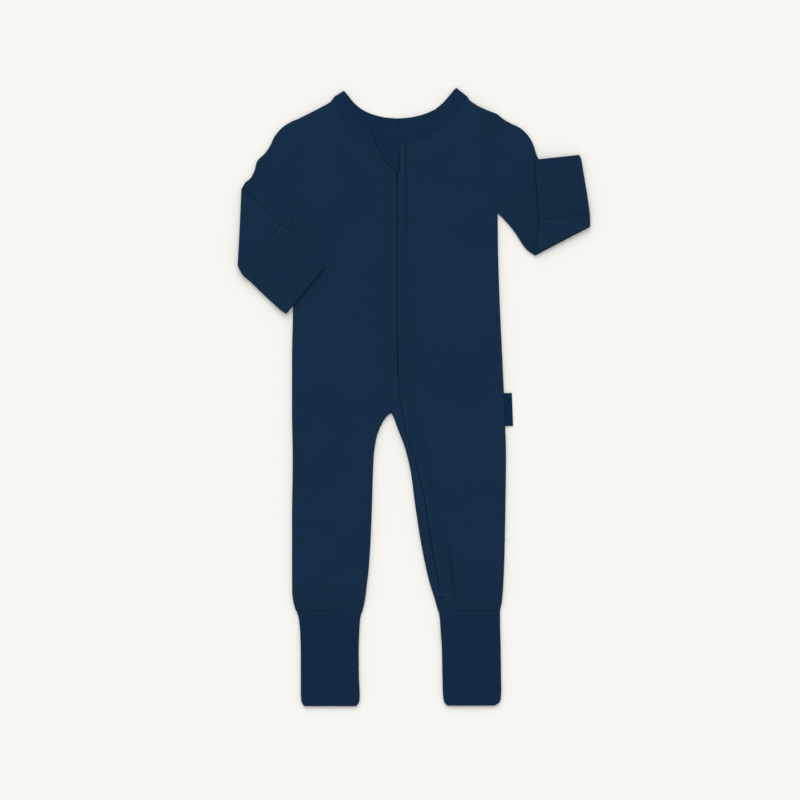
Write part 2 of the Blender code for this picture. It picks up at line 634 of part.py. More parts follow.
def build_sleeve_cuff(name, rows, supports, material):
    """A doubled rib cuff on top of the folded sleeve, sinking where nothing lies under it."""
    up = np.array((0.0, 0.0, 1.0))
    half = RIB + SLIT_HALF
    level = FRONT_TOP + LAYER_GAP + half
    rows = (move_row(rows[0], *seam_shift(rows[0], rows[1])),) + rows[1:]
    rings = []
    for row in rows:
        end_half = half - (HEM_ROUND if row is rows[-1] else 0.0)
        pair = ring_pair(*row_ends(row, level), up, end_half)
        for ring in pair:
            away = np.min([beyond(outline, ring) for outline in supports], axis=0)
            ring[:, 2] -= SLEEVE_CUFF_SAG * smooth_step((away - SAG_START) / SAG_REACH)
        rings.append(pair)
    return tube(name, rings, material)


def build_leg_cuff(name, rows, material):
    """A doubled rib cuff lying on the table, open at the foot."""
    up = np.array((0.0, 0.0, 1.0))
    half = RIB + SLIT_HALF
    rows = (move_row(rows[0], *seam_shift(rows[0], rows[1])),) + rows[1:]
    rings = []
    for row in rows:
        end_half = half - (HEM_ROUND if row is rows[-1] else 0.0)
        rings.append(ring_pair(*row_ends(row, half), up, end_half))
    return tube(name, rings, material)


def band_ring(neck, seam, up, half):
    """A rounded strip section from the neck edge to the seam edge."""
    length = np.linalg.norm(seam - neck)
    way = (seam - neck) / length
    soft = half * BAND_SOFT
    first, last = BAND_INSET
    upper = [(0.0, soft), (first, half), (length / 2, half), (length - last, half), (length, soft)]
    profile = upper + [(s, -t) for s, t in reversed(upper)]
    return np.array([neck + s * way + t * up for s, t in profile])


def build_neckband(name, front_rows, back_rows, gap_side, material):
    """Half of the neckband: its front stretch, the turn at the shoulder tip, and its back stretch."""
    up = np.array((0.0, 0.0, 1.0))
    half = BAND / 2
    turn = half + LAYER_GAP / 2
    upper = half + 2 * turn
    rings = []
    for row in front_rows[:-1]:
        rings.append(band_ring(np.array((row.neck_x, row.neck_y, upper)),
                               np.array((row.seam_x, row.seam_y, upper)), up, half))
    tip = front_rows[-1]
    neck, seam = np.array((tip.neck_x, tip.neck_y, half)), np.array((tip.seam_x, tip.seam_y, half))
    outward = np.cross(seam - neck, up)
    outward /= np.linalg.norm(outward)
    if outward[1] < 0:
        outward = -outward
    neck, seam = (point - outward * (turn + half) for point in (neck, seam))
    for angle in np.linspace(np.pi, 0, FOLD_TURNS + 1):
        swing = outward * np.sin(angle) * turn + up * (1 - np.cos(angle)) * turn
        lean = outward * np.sin(angle) - up * np.cos(angle)
        rings.append(band_ring(neck + swing, seam + swing, lean, half))
    for row in back_rows[1:]:
        shift = gap_side * SEAM_GAP / 2 if row is back_rows[-1] else 0.0
        rings.append(band_ring(np.array((row.neck_x + shift, row.neck_y, half)),
                               np.array((row.seam_x + shift, row.seam_y, half)), -up, half))
    rings = np.array(rings)
    rows, columns = rings.shape[:2]
    faces = grid_faces(rows, columns, around=True)
    faces.append(tuple(range(columns))[::-1])
    faces.append(tuple((rows - 1) * columns + k for k in range(columns)))
    return add_prism(name, rings.reshape(-1, 3), faces, material)


def add_prism(name, points, faces, material):
    """A solid whose end faces have many corners: each end is cut into a fan about its middle."""
    points = [tuple(point) for point in points]
    cut = []
    for face in faces:
        if len(face) <= 4:
            cut.append(face)
            continue
        points.append(tuple(np.mean([points[k] for k in face], axis=0)))
        middle = len(points) - 1
        cut += [(face[k], face[(k + 1) % len(face)], middle) for k in range(len(face))]
    return add_solid(name, np.array(points), cut, material)


def extrude(name, outline, start, way, material):
    """An outline in three dimensions, drawn out along a straight way."""
    base = np.array(outline, dtype=float) + np.array(start)
    count = len(base)
    points = np.vstack([base, base + np.array(way)])
    faces = [(k, (k + 1) % count, (k + 1) % count + count, k + count) for k in range(count)]
    faces += [tuple(range(count))[::-1], tuple(range(count, 2 * count))]
    return add_prism(name, points, faces, material)


def zip_centre(y):
    """Middle of the zip between its two lips."""
    return float((edge_x(ZIP_EDGE_RIGHT, y) + edge_x(ZIP_EDGE_LEFT, y)) / 2)


def build_slider(material):
    """Two plates on a post, with a slot on each side for the tapes."""
    low, high = SLIDER_Y
    h, p, w, s = SLIDER_HEIGHT, SLIDER_PLATE, SLIDER_HALF, SLIDER_POST
    outline = [(-w, 0, 0), (w, 0, 0), (w, 0, p), (s, 0, p), (s, 0, h - p), (w, 0, h - p),
               (w, 0, h), (-w, 0, h), (-w, 0, h - p), (-s, 0, h - p), (-s, 0, p), (-w, 0, p)]
    start = (zip_centre((low + high) / 2), low, FRONT_UNDER)
    return extrude("zip_slider", outline, start, (0, high - low, 0), material)


def build_pull(material):
    """The slider's flat pull, lying along the closed teeth with round ends."""
    top = SLIDER_Y[0] - SEAM_GAP
    turns = np.linspace(0, np.pi, 7)
    upper = [(PULL_HALF * np.cos(a), -PULL_HALF + PULL_HALF * np.sin(a), 0) for a in turns]
    lower = [(-PULL_HALF * np.cos(a), PULL_HALF - PULL_LENGTH - PULL_HALF * np.sin(a), 0) for a in turns]
    start = (zip_centre(top), top, FRONT_UNDER + SLIDER_HEIGHT - PULL_THICK)
    return extrude("zip_pull", upper + lower, start, (0, 0, PULL_THICK), material)


def build_label(material):
    """A folded tab sewn into the left side seam, sinking to the table."""
    ys = np.linspace(*LABEL_Y, 4)
    root = edge_x(SIDE_LEFT, ys) + SEAM_GAP
    steps = np.linspace(0, 1, 4)
    plan = np.stack([np.column_stack([root + LABEL_REACH * step, ys]) for step in steps], axis=1)
    under = FRONT_TOP / 2 - LABEL / 2 - LABEL_DROOP * smooth_step(steps)
    under = np.broadcast_to(under, plan.shape[:2])
    return closed_wall("side_label", with_height(plan, under + LABEL), with_height(plan, under), material)


def build():
    clear_scene()
    jersey = cloth("jersey", NAVY, 0.85)
    rib = cloth("rib", NAVY, 0.88)
    tape = cloth("zip tape", NAVY, 0.8)
    metal = cloth("slider", ENAMEL, 0.35, 0.6)
    woven = cloth("label", NAVY, 0.7)

    build_back("back_right", SIDE_RIGHT, INSEAM_RIGHT, SHOULDER_RIGHT, BAND_BACK_RIGHT, -1, jersey)
    build_back("back_left", SIDE_LEFT, INSEAM_LEFT, SHOULDER_LEFT, BAND_BACK_LEFT, 1, jersey)
    build_front("front_right", SIDE_RIGHT, INSEAM_RIGHT, SHOULDER_RIGHT, BAND_FRONT_RIGHT[::-1],
                LIP_SEAM_RIGHT, ZIP_EDGE_RIGHT, -1, jersey)
    build_front("front_left", SIDE_LEFT, None, SHOULDER_LEFT, BAND_FRONT_LEFT[::-1],
                LIP_SEAM_LEFT, ZIP_EDGE_LEFT, 1, jersey)
    build_lip("zip_lip_right", ZIP_EDGE_RIGHT, LIP_SEAM_RIGHT, 1, INSEAM_LEFT, 0.3, jersey)
    build_lip("zip_lip_left", ZIP_EDGE_LEFT, LIP_SEAM_LEFT, -1, None, 0.9, jersey)
    build_tape("zip_tape_right", ZIP_EDGE_RIGHT, 1, INSEAM_LEFT, tape)
    build_tape("zip_tape_left", ZIP_EDGE_LEFT, -1, None, tape)
    build_guard(jersey)
    build_slider(metal)
    build_pull(metal)
    build_neckband("neckband_right", BAND_FRONT_RIGHT, BAND_BACK_RIGHT, -1, rib)
    build_neckband("neckband_left", BAND_FRONT_LEFT, BAND_BACK_LEFT, 1, rib)
    build_sleeve("sleeve_right", UPPER_ARM_RIGHT, FOREARM_RIGHT, SIDE_RIGHT, -ARMHOLE_GAP, jersey)
    build_sleeve("sleeve_left", UPPER_ARM_LEFT, FOREARM_LEFT, SIDE_LEFT, ARMHOLE_GAP, jersey)
    torso = edge_points(SIDE_RIGHT, np.linspace(ARMPIT_Y, 0, 10)).tolist() + [(0, 0), (0, ARMPIT_Y)]
    build_sleeve_cuff("sleeve_cuff_right", CUFF_RIGHT, (arm_outline(UPPER_ARM_RIGHT), torso), rib)
    build_sleeve_cuff("sleeve_cuff_left", CUFF_LEFT, (arm_outline(UPPER_ARM_LEFT),), rib)
    build_leg_cuff("leg_cuff_right", LEG_CUFF_RIGHT, rib)
    build_leg_cuff("leg_cuff_left", LEG_CUFF_LEFT, rib)
    build_label(woven)


build()
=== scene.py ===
"""Looks of a baby's one-piece zip sleepsuit that lies flat on its back with its sleeves folded over.

Every cut piece of cloth is a thin closed shell worked out on a grid.  A grid has a
plan, an upper face and a lower face; creases and the air under the cloth are added
to both faces together, so the cloth keeps its thickness.

Tables are in millimetres: x to the wearer's left, y towards the neck, z up from the
floor, with the origin under the middle of the garment.
"""

from collections import namedtuple

import bpy
import numpy as np
from bpy.props import FloatProperty, FloatVectorProperty, PointerProperty
from bpy.types import Operator, Panel, PropertyGroup
from mathutils.bvhtree import BVHTree
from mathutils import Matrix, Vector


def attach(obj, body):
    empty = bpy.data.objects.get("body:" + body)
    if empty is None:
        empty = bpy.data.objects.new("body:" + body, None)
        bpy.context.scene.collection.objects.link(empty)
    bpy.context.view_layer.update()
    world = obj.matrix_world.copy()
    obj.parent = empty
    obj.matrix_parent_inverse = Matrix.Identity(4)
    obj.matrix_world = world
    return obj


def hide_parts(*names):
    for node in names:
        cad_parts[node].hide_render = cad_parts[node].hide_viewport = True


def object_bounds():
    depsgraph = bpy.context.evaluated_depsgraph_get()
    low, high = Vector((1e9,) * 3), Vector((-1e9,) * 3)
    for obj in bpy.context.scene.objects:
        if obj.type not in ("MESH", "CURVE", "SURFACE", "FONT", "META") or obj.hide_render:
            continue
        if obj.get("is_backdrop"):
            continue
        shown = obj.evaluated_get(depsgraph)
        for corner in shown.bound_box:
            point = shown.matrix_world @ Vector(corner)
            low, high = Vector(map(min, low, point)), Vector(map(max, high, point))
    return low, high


bl_info = {
    "name": "Zip sleepsuit laid flat",
    "version": (1, 0, 0),
    "blender": (4, 5, 0),
    "location": "View3D > Sidebar > Sleepsuit",
    "description": "Makes the cloth, zip, sewing and stage of a baby's zip sleepsuit around its solid model",
    "category": "Object",
}

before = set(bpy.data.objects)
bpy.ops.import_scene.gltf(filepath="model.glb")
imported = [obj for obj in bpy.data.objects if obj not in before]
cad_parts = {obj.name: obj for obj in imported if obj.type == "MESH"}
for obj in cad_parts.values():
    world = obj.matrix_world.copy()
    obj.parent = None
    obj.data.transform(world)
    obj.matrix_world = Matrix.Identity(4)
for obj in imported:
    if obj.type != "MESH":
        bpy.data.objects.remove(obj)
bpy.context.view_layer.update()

MM = 0.001
UP = np.array((0.0, 0.0, 1.0))

# Thickness of each cloth, as in the solid model
JERSEY = 1.1
RIB = 1.5
BAND = 1.4
LIP = 1.3
GUARD = 0.9
TAPE = 0.5
LABEL = 0.7
LAYER_GAP = 0.35        # between layers that lie on each other
EDGE_ROUND = 1.0        # reach of the rounding at an edge; tighter than the solid model's
BACK_TOP = JERSEY
FRONT_UNDER = BACK_TOP + LAYER_GAP
FRONT_TOP = FRONT_UNDER + JERSEY
MEET = (BACK_TOP + FRONT_UNDER) / 2     # level of a seam between a front and a back
SEWN_EDGE = 0.05        # what is left of a panel's thickness at a sewn edge
THINNEST = 0.04         # that the rounding at an edge leaves of a layer
TUBE_HALF = FRONT_TOP / 2
SLIT_HALF = LAYER_GAP / 2

# Zip and its lips
LIP_WIDTH = 8.5         # from a lip's folded edge to its stitching
LIP_LIFT = 1.7          # of a lip at its folded edge, over a front that lies flat
SEAM_LIFT = 0.9         # and at its stitching
LIP_FLAT = 4.0          # width of its level part
LIP_STEPS = (0.0, 0.08, 0.25, 0.5, 0.8, 1.2, 1.7, 2.3, 3.0, LIP_FLAT)
LIP_ROUND = 1.7         # reach of the rounding at the folded edge
LIP_END_Y = 226.0       # where the left lip's inner fold ends under the open top
LIP_END_DIP, LIP_END_REACH = 0.6, 1.1
RIDGE_REACH = 24.0      # from a lip to where its front lies flat
SLIDER_LIFT = 1.2       # more lift, over the slider and its pull
SLIDER_ROOM = (184.0, 222.0)
SLIDER_EASE = 12.0      # length along the zip over which that lift fades
SLIDER_REACH = 12.0     # and width beside the lip
TAPE_INNER, TAPE_OUTER = 1.0, 7.4               # from the zip's line to the tape's edges, closed
TAPE_OPEN_INNER, TAPE_OPEN_OUTER = 4.2, 8.0     # and open
TAPE_MARGIN = 3.5       # between the tape and the inseam
SLIDER_TOP_Y, SLIDER_LOW_Y = 218.0, 206.5
SLIDER_CLEAR = 0.6      # from the slider to the nearest tooth
ZIP_TOP_Y, ZIP_END_Y = 246.0, -201.0
LIPS_JOIN_Y = -187.0    # from here down the two lips are sewn together
TOOTH_PITCH = 2.4
TOOTH_REACH = 0.75      # from the zip's line to the middle of a tooth

# Neckband and sewing
TIP_OVERLAP = 0.35      # of the neckband's seam over the shoulder, at its tip
TOPSTITCH = 1.9         # from a seam to the row of stitches beside it
STITCH_RISE = 0.04      # of a stitch's middle over the cloth

# Panels
ARMPIT_Y = 184.0
CROTCH_Y = -16.0
ANKLE_Y = -214.0
COVERED_Y = 152.0       # the right side seam lies under the sleeve's cuff above this height
CUFF_COVER = 46.0       # reach of the right sleeve's cuff, which holds the front down
PUFF = 1.7              # how far air holds a front off the back, a few millimetres in from its edge
NECK_RISE = 0.55        # lift of a front where it is sewn to the neckband
EDGE_STEPS = (0.0, 0.15, 0.45, 0.9, 1.5, 2.2, 3.2)
FRONT_SPACING, BACK_SPACING = 1.3, 2.5     # between a panel's columns

# Sleeves and cuffs
SLEEVE_COLUMNS, CUFF_COLUMNS = 34, 150
HEM_REACH, HEM_DROP = 1.6, 0.75     # rounding of a cuff's open end
RIB_PITCH, RIB_DEPTH = 1.9, 0.08
SLEEVE_CUFF_SAG = 1.8   # how far a sleeve's cuff sinks where nothing lies under it
SAG_START, SAG_REACH = 1.0, 24.0    # from the edge of what lies under it

# Side label, a blank folded tab
LABEL_Y = (-29.0, 4.0)
LABEL_REACH = 8.0       # out of the side seam
LABEL_TUCK = 1.2        # and into it
LABEL_FOLD = 1.2        # reach of the rounding at its fold
LABEL_DROOP = 0.75

Station = namedtuple("Station", "y x")
BandRow = namedtuple("BandRow", "neck_x neck_y seam_x seam_y")
TubeRow = namedtuple("TubeRow", "outer_x outer_y under_x under_y")
GuardRow = namedtuple("GuardRow", "right_x right_y left_x left_y")
Crease = namedtuple("Crease", "width height lean path")


# ---------------------------------------------------------------- outlines of the pieces

# Armhole, side seam and outer leg, wearer's right
SIDE_RIGHT = (
    Station(278, -116), Station(262, -116), Station(247, -116), Station(217, -118),
    Station(197, -120), Station(184, -120.5), Station(137, -120.5), Station(87, -121),
    Station(37, -122), Station(-13, -122), Station(-63, -121.3), Station(-123, -122),
    Station(-165, -122), Station(-195, -121.8), Station(-205, -120.5), Station(-214, -118),
)
# The same edge, wearer's left
SIDE_LEFT = (
    Station(283, 83), Station(271, 78), Station(261, 75.5), Station(238, 75),
    Station(207, 78.5), Station(184, 83.5), Station(147, 84), Station(99, 85.5),
    Station(45, 88), Station(13, 89.5), Station(-19, 90.7), Station(-59, 92),
    Station(-103, 91.5), Station(-155, 90.5), Station(-187, 89.3), Station(-203, 88),
    Station(-214, 86),
)
INSEAM_RIGHT = (
    Station(-16, -23), Station(-19, -27), Station(-27, -32.3), Station(-35, -35.8),
    Station(-43, -38), Station(-59, -40.2), Station(-83, -41.3), Station(-107, -42),
    Station(-139, -43.2), Station(-171, -45.2), Station(-187, -47), Station(-203, -49),
    Station(-214, -51.5),
)
INSEAM_LEFT = (
    Station(-16, -23), Station(-19, -21), Station(-27, -18), Station(-35, -15),
    Station(-51, -9), Station(-75, -3.3), Station(-107, 1), Station(-139, 5.8),
    Station(-171, 12), Station(-187, 16), Station(-203, 21), Station(-214, 24),
)
CENTRE_BACK = (Station(260, -16.5), Station(120, -17.5), Station(CROTCH_Y, -23))

# Free edge of the right front: the turned-back flap, then the zip down to the ankle
ZIP_EDGE_RIGHT = (
    Station(249, -37), Station(245, -35), Station(236, -30), Station(230, -24.5),
    Station(222, -17.7), Station(214, -17.3), Station(204, -16.9), Station(62, -17.2),
    Station(7, -15.2), Station(-21, -11), Station(-43, -6), Station(-62, 0.4),
    Station(-98, 9.4), Station(-139, 15.8), Station(-189, 25), Station(-214, 31),
)
ZIP_EDGE_LEFT = (
    Station(255, -14), Station(228, -14), Station(223, -15.8), Station(214, -16.2),
    Station(62, -16.6), Station(7, -14.6), Station(-21, -10.4), Station(-43, -5.4),
    Station(-62, 1), Station(-98, 10), Station(-139, 16.4), Station(-189, 25.6),
    Station(-214, 31.6),
)
# Where each lip is stitched down on its front
LIP_SEAM_RIGHT = (
    Station(252.6, -45.5), Station(240, -42), Station(230, -36), Station(220, -28.5),
    Station(210, -25.4), Station(62, -25.7), Station(7, -23.8), Station(-8, -23.2),
    Station(CROTCH_Y, -23),
)
LIP_SEAM_LEFT = (
    Station(255, -8), Station(214, -8), Station(62, -8.2), Station(7, -6.2),
    Station(-21, -2), Station(-43, 3), Station(-62, 9.3), Station(-98, 18.4),
    Station(-139, 24.9), Station(-189, 34), Station(-214, 40),
)
# Shoulder line, from the armhole up to the neckband
SHOULDER_RIGHT = (
    (-116, 278), (-105, 283.5), (-98, 287), (-91, 290.7), (-85.5, 293.6), (-82.4, 296), (-80, 298.6),
)
SHOULDER_LEFT = ((83, 283), (72, 287.3), (64, 291), (58, 294.8), (55, 297), (53.3, 298.6))

# Neckband, from its front end up to the shoulder tip; the last row is the fold there
BAND_FRONT_RIGHT = (
    BandRow(-43, 268, -37, 249.3), BandRow(-46, 273, -47, 253.7), BandRow(-49, 278, -56, 257.6),
    BandRow(-54, 283.5, -62, 265), BandRow(-59, 289, -67, 272.5), BandRow(-64.5, 297, -73, 281.5),
    BandRow(-70, 306.3, -79.6, 300.3),
)
BAND_BACK_RIGHT = (
    BandRow(-70, 306.3, -79.6, 300.3), BandRow(-66, 301.6, -75.7, 290.3), BandRow(-61, 295.3, -73, 283.5),
    BandRow(-57, 291.3, -68, 277.5), BandRow(-51, 287, -60.5, 271.7), BandRow(-43, 283.2, -50, 266.5),
    BandRow(-30, 279.7, -34, 262), BandRow(-16.5, 278.5, -16.5, 260.3),
)
BAND_FRONT_LEFT = (
    BandRow(-14, 277.8, -14, 255.8), BandRow(-8, 278.2, -8, 254.6), BandRow(0, 279.2, 0, 254.2),
    BandRow(11, 282, 10, 257.3), BandRow(20, 286, 20, 264), BandRow(26, 290.3, 28, 269.7),
    BandRow(31, 295.3, 36, 277.8), BandRow(36, 301.5, 43.5, 287), BandRow(42, 309.3, 53.4, 300.4),
)
BAND_BACK_LEFT = (
    BandRow(42, 309.3, 53.4, 300.4), BandRow(35.5, 301.7, 45.5, 290.6), BandRow(30.5, 295.8, 40.6, 284.6),
    BandRow(26, 291.6, 34.8, 278.4), BandRow(20.5, 287.4, 27.5, 272), BandRow(11, 283.2, 18, 266.5),
    BandRow(-3, 279.7, 1, 262), BandRow(-16.5, 278.5, -16.5, 260.3),
)

# Guard behind the open top: its edges under the right lip and under the left lip
GUARD_ROWS = (
    GuardRow(-19.5, 271.6, -15.6, 270.5), GuardRow(-31, 269.9, -13.9, 268),
    GuardRow(-42.4, 268.2, -13.9, 256), GuardRow(-36.9, 249.8, -13.9, 253.6),
    GuardRow(-38, 247.5, -12.8, 252.5), GuardRow(-33, 236, -12.8, 240),
    GuardRow(-27.5, 230, -12.8, 232), GuardRow(-20.6, 222, -13.5, 222),
    GuardRow(-20.2, 219, -13.5, 219),
)

# Sleeves: armhole to fold, fold to cuff seam, then the cuff to its open end
UPPER_ARM_RIGHT = (
    TubeRow(-116, 278, -120.5, 184), TubeRow(-123, 275, -120.3, 172), TubeRow(-131, 270, -120.6, 161),
    TubeRow(-139, 261, -129, 154), TubeRow(-143.7, 251.5, -138.5, 149.5), TubeRow(-149, 243.6, -147, 145.5),
    TubeRow(-156.6, 236, -154, 142.5), TubeRow(-159.4, 226.5, -160, 139.5), TubeRow(-163.3, 219, -165, 137),
    TubeRow(-169, 214, -170.5, 134), TubeRow(-172.5, 207, -176.1, 131),
)
FOREARM_RIGHT = (
    TubeRow(-172.5, 207, -176.1, 131), TubeRow(-152, 190, -175.6, 129.8), TubeRow(-132, 172, -174.9, 128.3),
)
CUFF_RIGHT = (
    TubeRow(-132, 172, -174.9, 128.3), TubeRow(-127.5, 168, -171, 121.6), TubeRow(-120.5, 161, -163, 114.6),
    TubeRow(-109, 150.5, -149.2, 101.2), TubeRow(-97.5, 139.5, -136.6, 89.6), TubeRow(-91, 133, -130.5, 84.6),
    TubeRow(-89, 130.5, -127.5, 83),
)
UPPER_ARM_LEFT = (
    TubeRow(83, 283, 83.5, 184), TubeRow(90, 277.4, 89, 178.5), TubeRow(97.5, 273.2, 94, 173),
    TubeRow(106, 269, 99, 167), TubeRow(114, 261.5, 102.5, 162), TubeRow(119, 253, 105, 158),
    TubeRow(124, 239, 107.5, 154), TubeRow(149, 205, 113, 147), TubeRow(176, 170, 121, 141.3),
)
FOREARM_LEFT = (
    TubeRow(176, 170, 121, 141.3), TubeRow(176, 176.5, 123.5, 159), TubeRow(175.8, 182.6, 125.3, 176),
)
CUFF_LEFT = (
    TubeRow(175.8, 182.6, 125.3, 176), TubeRow(173.7, 198, 124.3, 192), TubeRow(171.5, 212, 122.6, 207),
    TubeRow(169, 226.5, 121.6, 222), TubeRow(167, 238, 121.6, 234), TubeRow(165.3, 242, 122.5, 237.3),
)

# Leg cuffs: the outer leg's edge and the inner leg's edge, from the seam to the foot end
LEG_CUFF_RIGHT = (
    TubeRow(-117.3, -214, -51.8, -214), TubeRow(-115.5, -220, -53.6, -220),
    TubeRow(-114.2, -230, -54.4, -230), TubeRow(-113.3, -250, -55.2, -250),
    TubeRow(-113.2, -280, -55, -280), TubeRow(-113, -300, -54.3, -300),
    TubeRow(-112, -306, -55.3, -306), TubeRow(-109.5, -309, -58, -309),
)
LEG_CUFF_LEFT = (
    TubeRow(86, -214, 24.6, -214), TubeRow(86, -222, 25.8, -222), TubeRow(86.2, -234, 26.6, -234),
    TubeRow(86.6, -250, 27.7, -250), TubeRow(87, -280, 28.4, -280), TubeRow(87, -298, 29, -298),
    TubeRow(85.5, -305, 30.2, -305), TubeRow(80.5, -308.5, 33.5, -308.5),
)


# ---------------------------------------------------------------- curves and grids

def smooth_step(value):
    """3t^2 - 2t^3 between 0 and 1, flat outside."""
    t = np.clip(value, 0.0, 1.0)
    return t * t * (3.0 - 2.0 * t)


def edge_x(stations, y):
    """x of an edge at heights y.

    A cubic joins the stations, with harmonic-mean slopes so that it never overshoots.
    """
    table = np.array(sorted(stations), dtype=float)
    ys, xs = table[:, 0], table[:, 1]
    steps, rises = np.diff(ys), np.diff(xs)
    secants = rises / steps
    both = secants[:-1] * secants[1:]
    mean = 2 * both / np.where(both > 0, secants[:-1] + secants[1:], 1.0)
    slopes = np.concatenate([secants[:1], np.where(both > 0, mean, 0.0), secants[-1:]])
    y = np.clip(np.asarray(y, dtype=float), ys[0], ys[-1])
    low = np.clip(np.searchsorted(ys, y, side="right") - 1, 0, len(ys) - 2)
    t = (y - ys[low]) / steps[low]
    bend = t * (1 - t) ** 2 * slopes[low] + t * t * (t - 1) * slopes[low + 1]
    return xs[low] + rises[low] * t * t * (3 - 2 * t) + steps[low] * bend


def edge_points(stations, ys):
    """Points (x, y) of an edge at heights ys."""
    ys = np.asarray(ys, dtype=float)
    return np.stack([edge_x(stations, ys), ys], axis=-1)


def flowing(rows, spacing):
    """Rows of numbers on a centripetal Catmull-Rom curve through the given rows, about spacing apart."""
    rows = np.asarray(rows, dtype=float)
    steps = np.linalg.norm(np.diff(rows, axis=0), axis=1)
    knots = np.concatenate([[0.0], np.cumsum(np.sqrt(steps))])
    grow = np.vstack([2 * rows[0] - rows[1], rows, 2 * rows[-1] - rows[-2]])
    u = np.concatenate([[2 * knots[0] - knots[1]], knots, [2 * knots[-1] - knots[-2]]])
    parts = []
    for k, step in enumerate(steps):
        count = max(1, int(np.ceil(step / spacing)))
        t = (knots[k] + (knots[k + 1] - knots[k]) * np.arange(count) / count)[:, None]
        p0, p1, p2, p3 = grow[k:k + 4]
        u0, u1, u2, u3 = u[k:k + 4]
        a = (p0 * (u1 - t) + p1 * (t - u0)) / (u1 - u0)
        b = (p1 * (u2 - t) + p2 * (t - u1)) / (u2 - u1)
        c = (p2 * (u3 - t) + p3 * (t - u2)) / (u3 - u2)
        d = (a * (u2 - t) + b * (t - u0)) / (u2 - u0)
        e = (b * (u3 - t) + c * (t - u1)) / (u3 - u1)
        parts.append((d * (u2 - t) + e * (t - u1)) / (u2 - u1))
    return np.vstack(parts + [rows[-1:]])


def run_along(points):
    """How far along a line each of its points lies."""
    return np.concatenate([[0.0], np.cumsum(np.linalg.norm(np.diff(points, axis=0), axis=1))])


def distance_to(lines, points, closed=False):
    """Least distance in plan from each point to any of the lines."""
    flat = points.reshape(-1, 2)
    best = np.full(len(flat), np.inf)
    for line in lines:
        line = np.asarray(line, dtype=float)
        if closed:
            line = np.vstack([line, line[:1]])
        for start, end in zip(line[:-1], line[1:]):
            way = end - start
            t = np.clip((flat - start) @ way / (way @ way), 0.0, 1.0)
            best = np.minimum(best, np.linalg.norm(flat - start - t[:, None] * way, axis=1))
    return best.reshape(points.shape[:-1])


def along_and_across(path, points):
    """For each point, the share of the path's length at its foot, and its signed distance from the path."""
    path = flowing(path, 3.0)
    run = run_along(path)
    flat = points.reshape(-1, 2)
    best = np.full(len(flat), np.inf)
    share, side = np.zeros(len(flat)), np.zeros(len(flat))
    for k, (start, end) in enumerate(zip(path[:-1], path[1:])):
        way = end - start
        length = run[k + 1] - run[k]
        t = np.clip((flat - start) @ way / (way @ way), 0.0, 1.0)
        off = flat - start - t[:, None] * way
        gap = np.linalg.norm(off, axis=1)
        turn = np.sign(way[0] * off[:, 1] - way[1] * off[:, 0])
        nearer = gap < best
        best = np.where(nearer, gap, best)
        share = np.where(nearer, (run[k] + t * length) / run[-1], share)
        side = np.where(nearer, gap * np.where(turn == 0, 1.0, turn), side)
    shape = points.shape[:-1]
    return share.reshape(shape), side.reshape(shape)


def creased(creases, plan):
    """Height that the creases add.

    Each crease is a bell across its path, exp(-(d / width)^2), where the width on one
    side is scaled by lean and on the other by its inverse, times sin(pi t)^0.7 along
    it, so that it rises and dies away.
    """
    lift = np.zeros(plan.shape[:-1])
    for crease in creases:
        share, side = along_and_across(crease.path, plan)
        width = crease.width * np.where(side > 0, crease.lean, 1.0 / crease.lean)
        lift += crease.height * np.exp(-(side / width) ** 2) * np.sin(np.pi * np.clip(share, 0, 1)) ** 0.7
    return lift


def rolling(plan, seed, size, height):
    """Soft uneven air under the cloth: a sum of seven sine waves of mixed direction and length."""
    rng = np.random.default_rng(seed)
    total = np.zeros(plan.shape[:-1])
    for _ in range(7):
        angle = rng.uniform(0, np.pi)
        wave = size * rng.uniform(0.7, 1.9)
        way = np.array((np.cos(angle), np.sin(angle)))
        total += np.sin(2 * np.pi * (plan @ way) / wave + rng.uniform(0, 2 * np.pi))
    return height * total / 7


def with_height(plan, z):
    """Points of a plan at heights z."""
    return np.concatenate([plan, np.broadcast_to(z, plan.shape[:-1])[..., None]], axis=-1)


def rounded(distance, reach, drop):
    """Fall of a quarter ellipse: drop at the edge, nothing beyond reach."""
    t = 1.0 - np.clip(distance / reach, 0.0, 1.0)
    return drop * (1.0 - np.sqrt(1.0 - t * t))


def columns_between(width, edge_steps, count):
    """Fractions across a strip: close together at both edges, with count equal steps between them."""
    first = np.array(edge_steps) / width
    middle = np.linspace(first[-1], 1 - first[-1], count + 1)[1:-1]
    return np.concatenate([first, middle, (1 - first)[::-1]])


# ---------------------------------------------------------------- meshes

def quads(rows, columns, around):
    """Corner numbers of a grid's faces; around joins the last column to the first."""
    r = np.arange(rows - 1)[:, None]
    c = np.arange(columns if around else columns - 1)[None, :]
    d = (c + 1) % columns
    this_row, next_row = r * columns, (r + 1) * columns
    return np.stack([this_row + c, this_row + d, next_row + d, next_row + c], axis=-1).reshape(-1, 4)


def rim(rows, columns, around):
    """Corner numbers of the strips that close a shell between its upper and lower grid."""
    count = rows * columns
    grid = np.arange(count).reshape(rows, columns)
    loops = []
    if around:
        for row, flip in ((grid[0], False), (grid[-1], True)):
            line = np.append(row, row[0])
            loops.append(line[::-1] if flip else line)
    else:
        loops.append(np.concatenate([grid[0], grid[1:, -1], grid[-1, -2::-1], grid[-2:0:-1, 0], grid[:1, 0]]))
    strips = [np.stack([line[1:], line[:-1], line[:-1] + count, line[1:] + count], axis=-1) for line in loops]
    return np.vstack(strips)


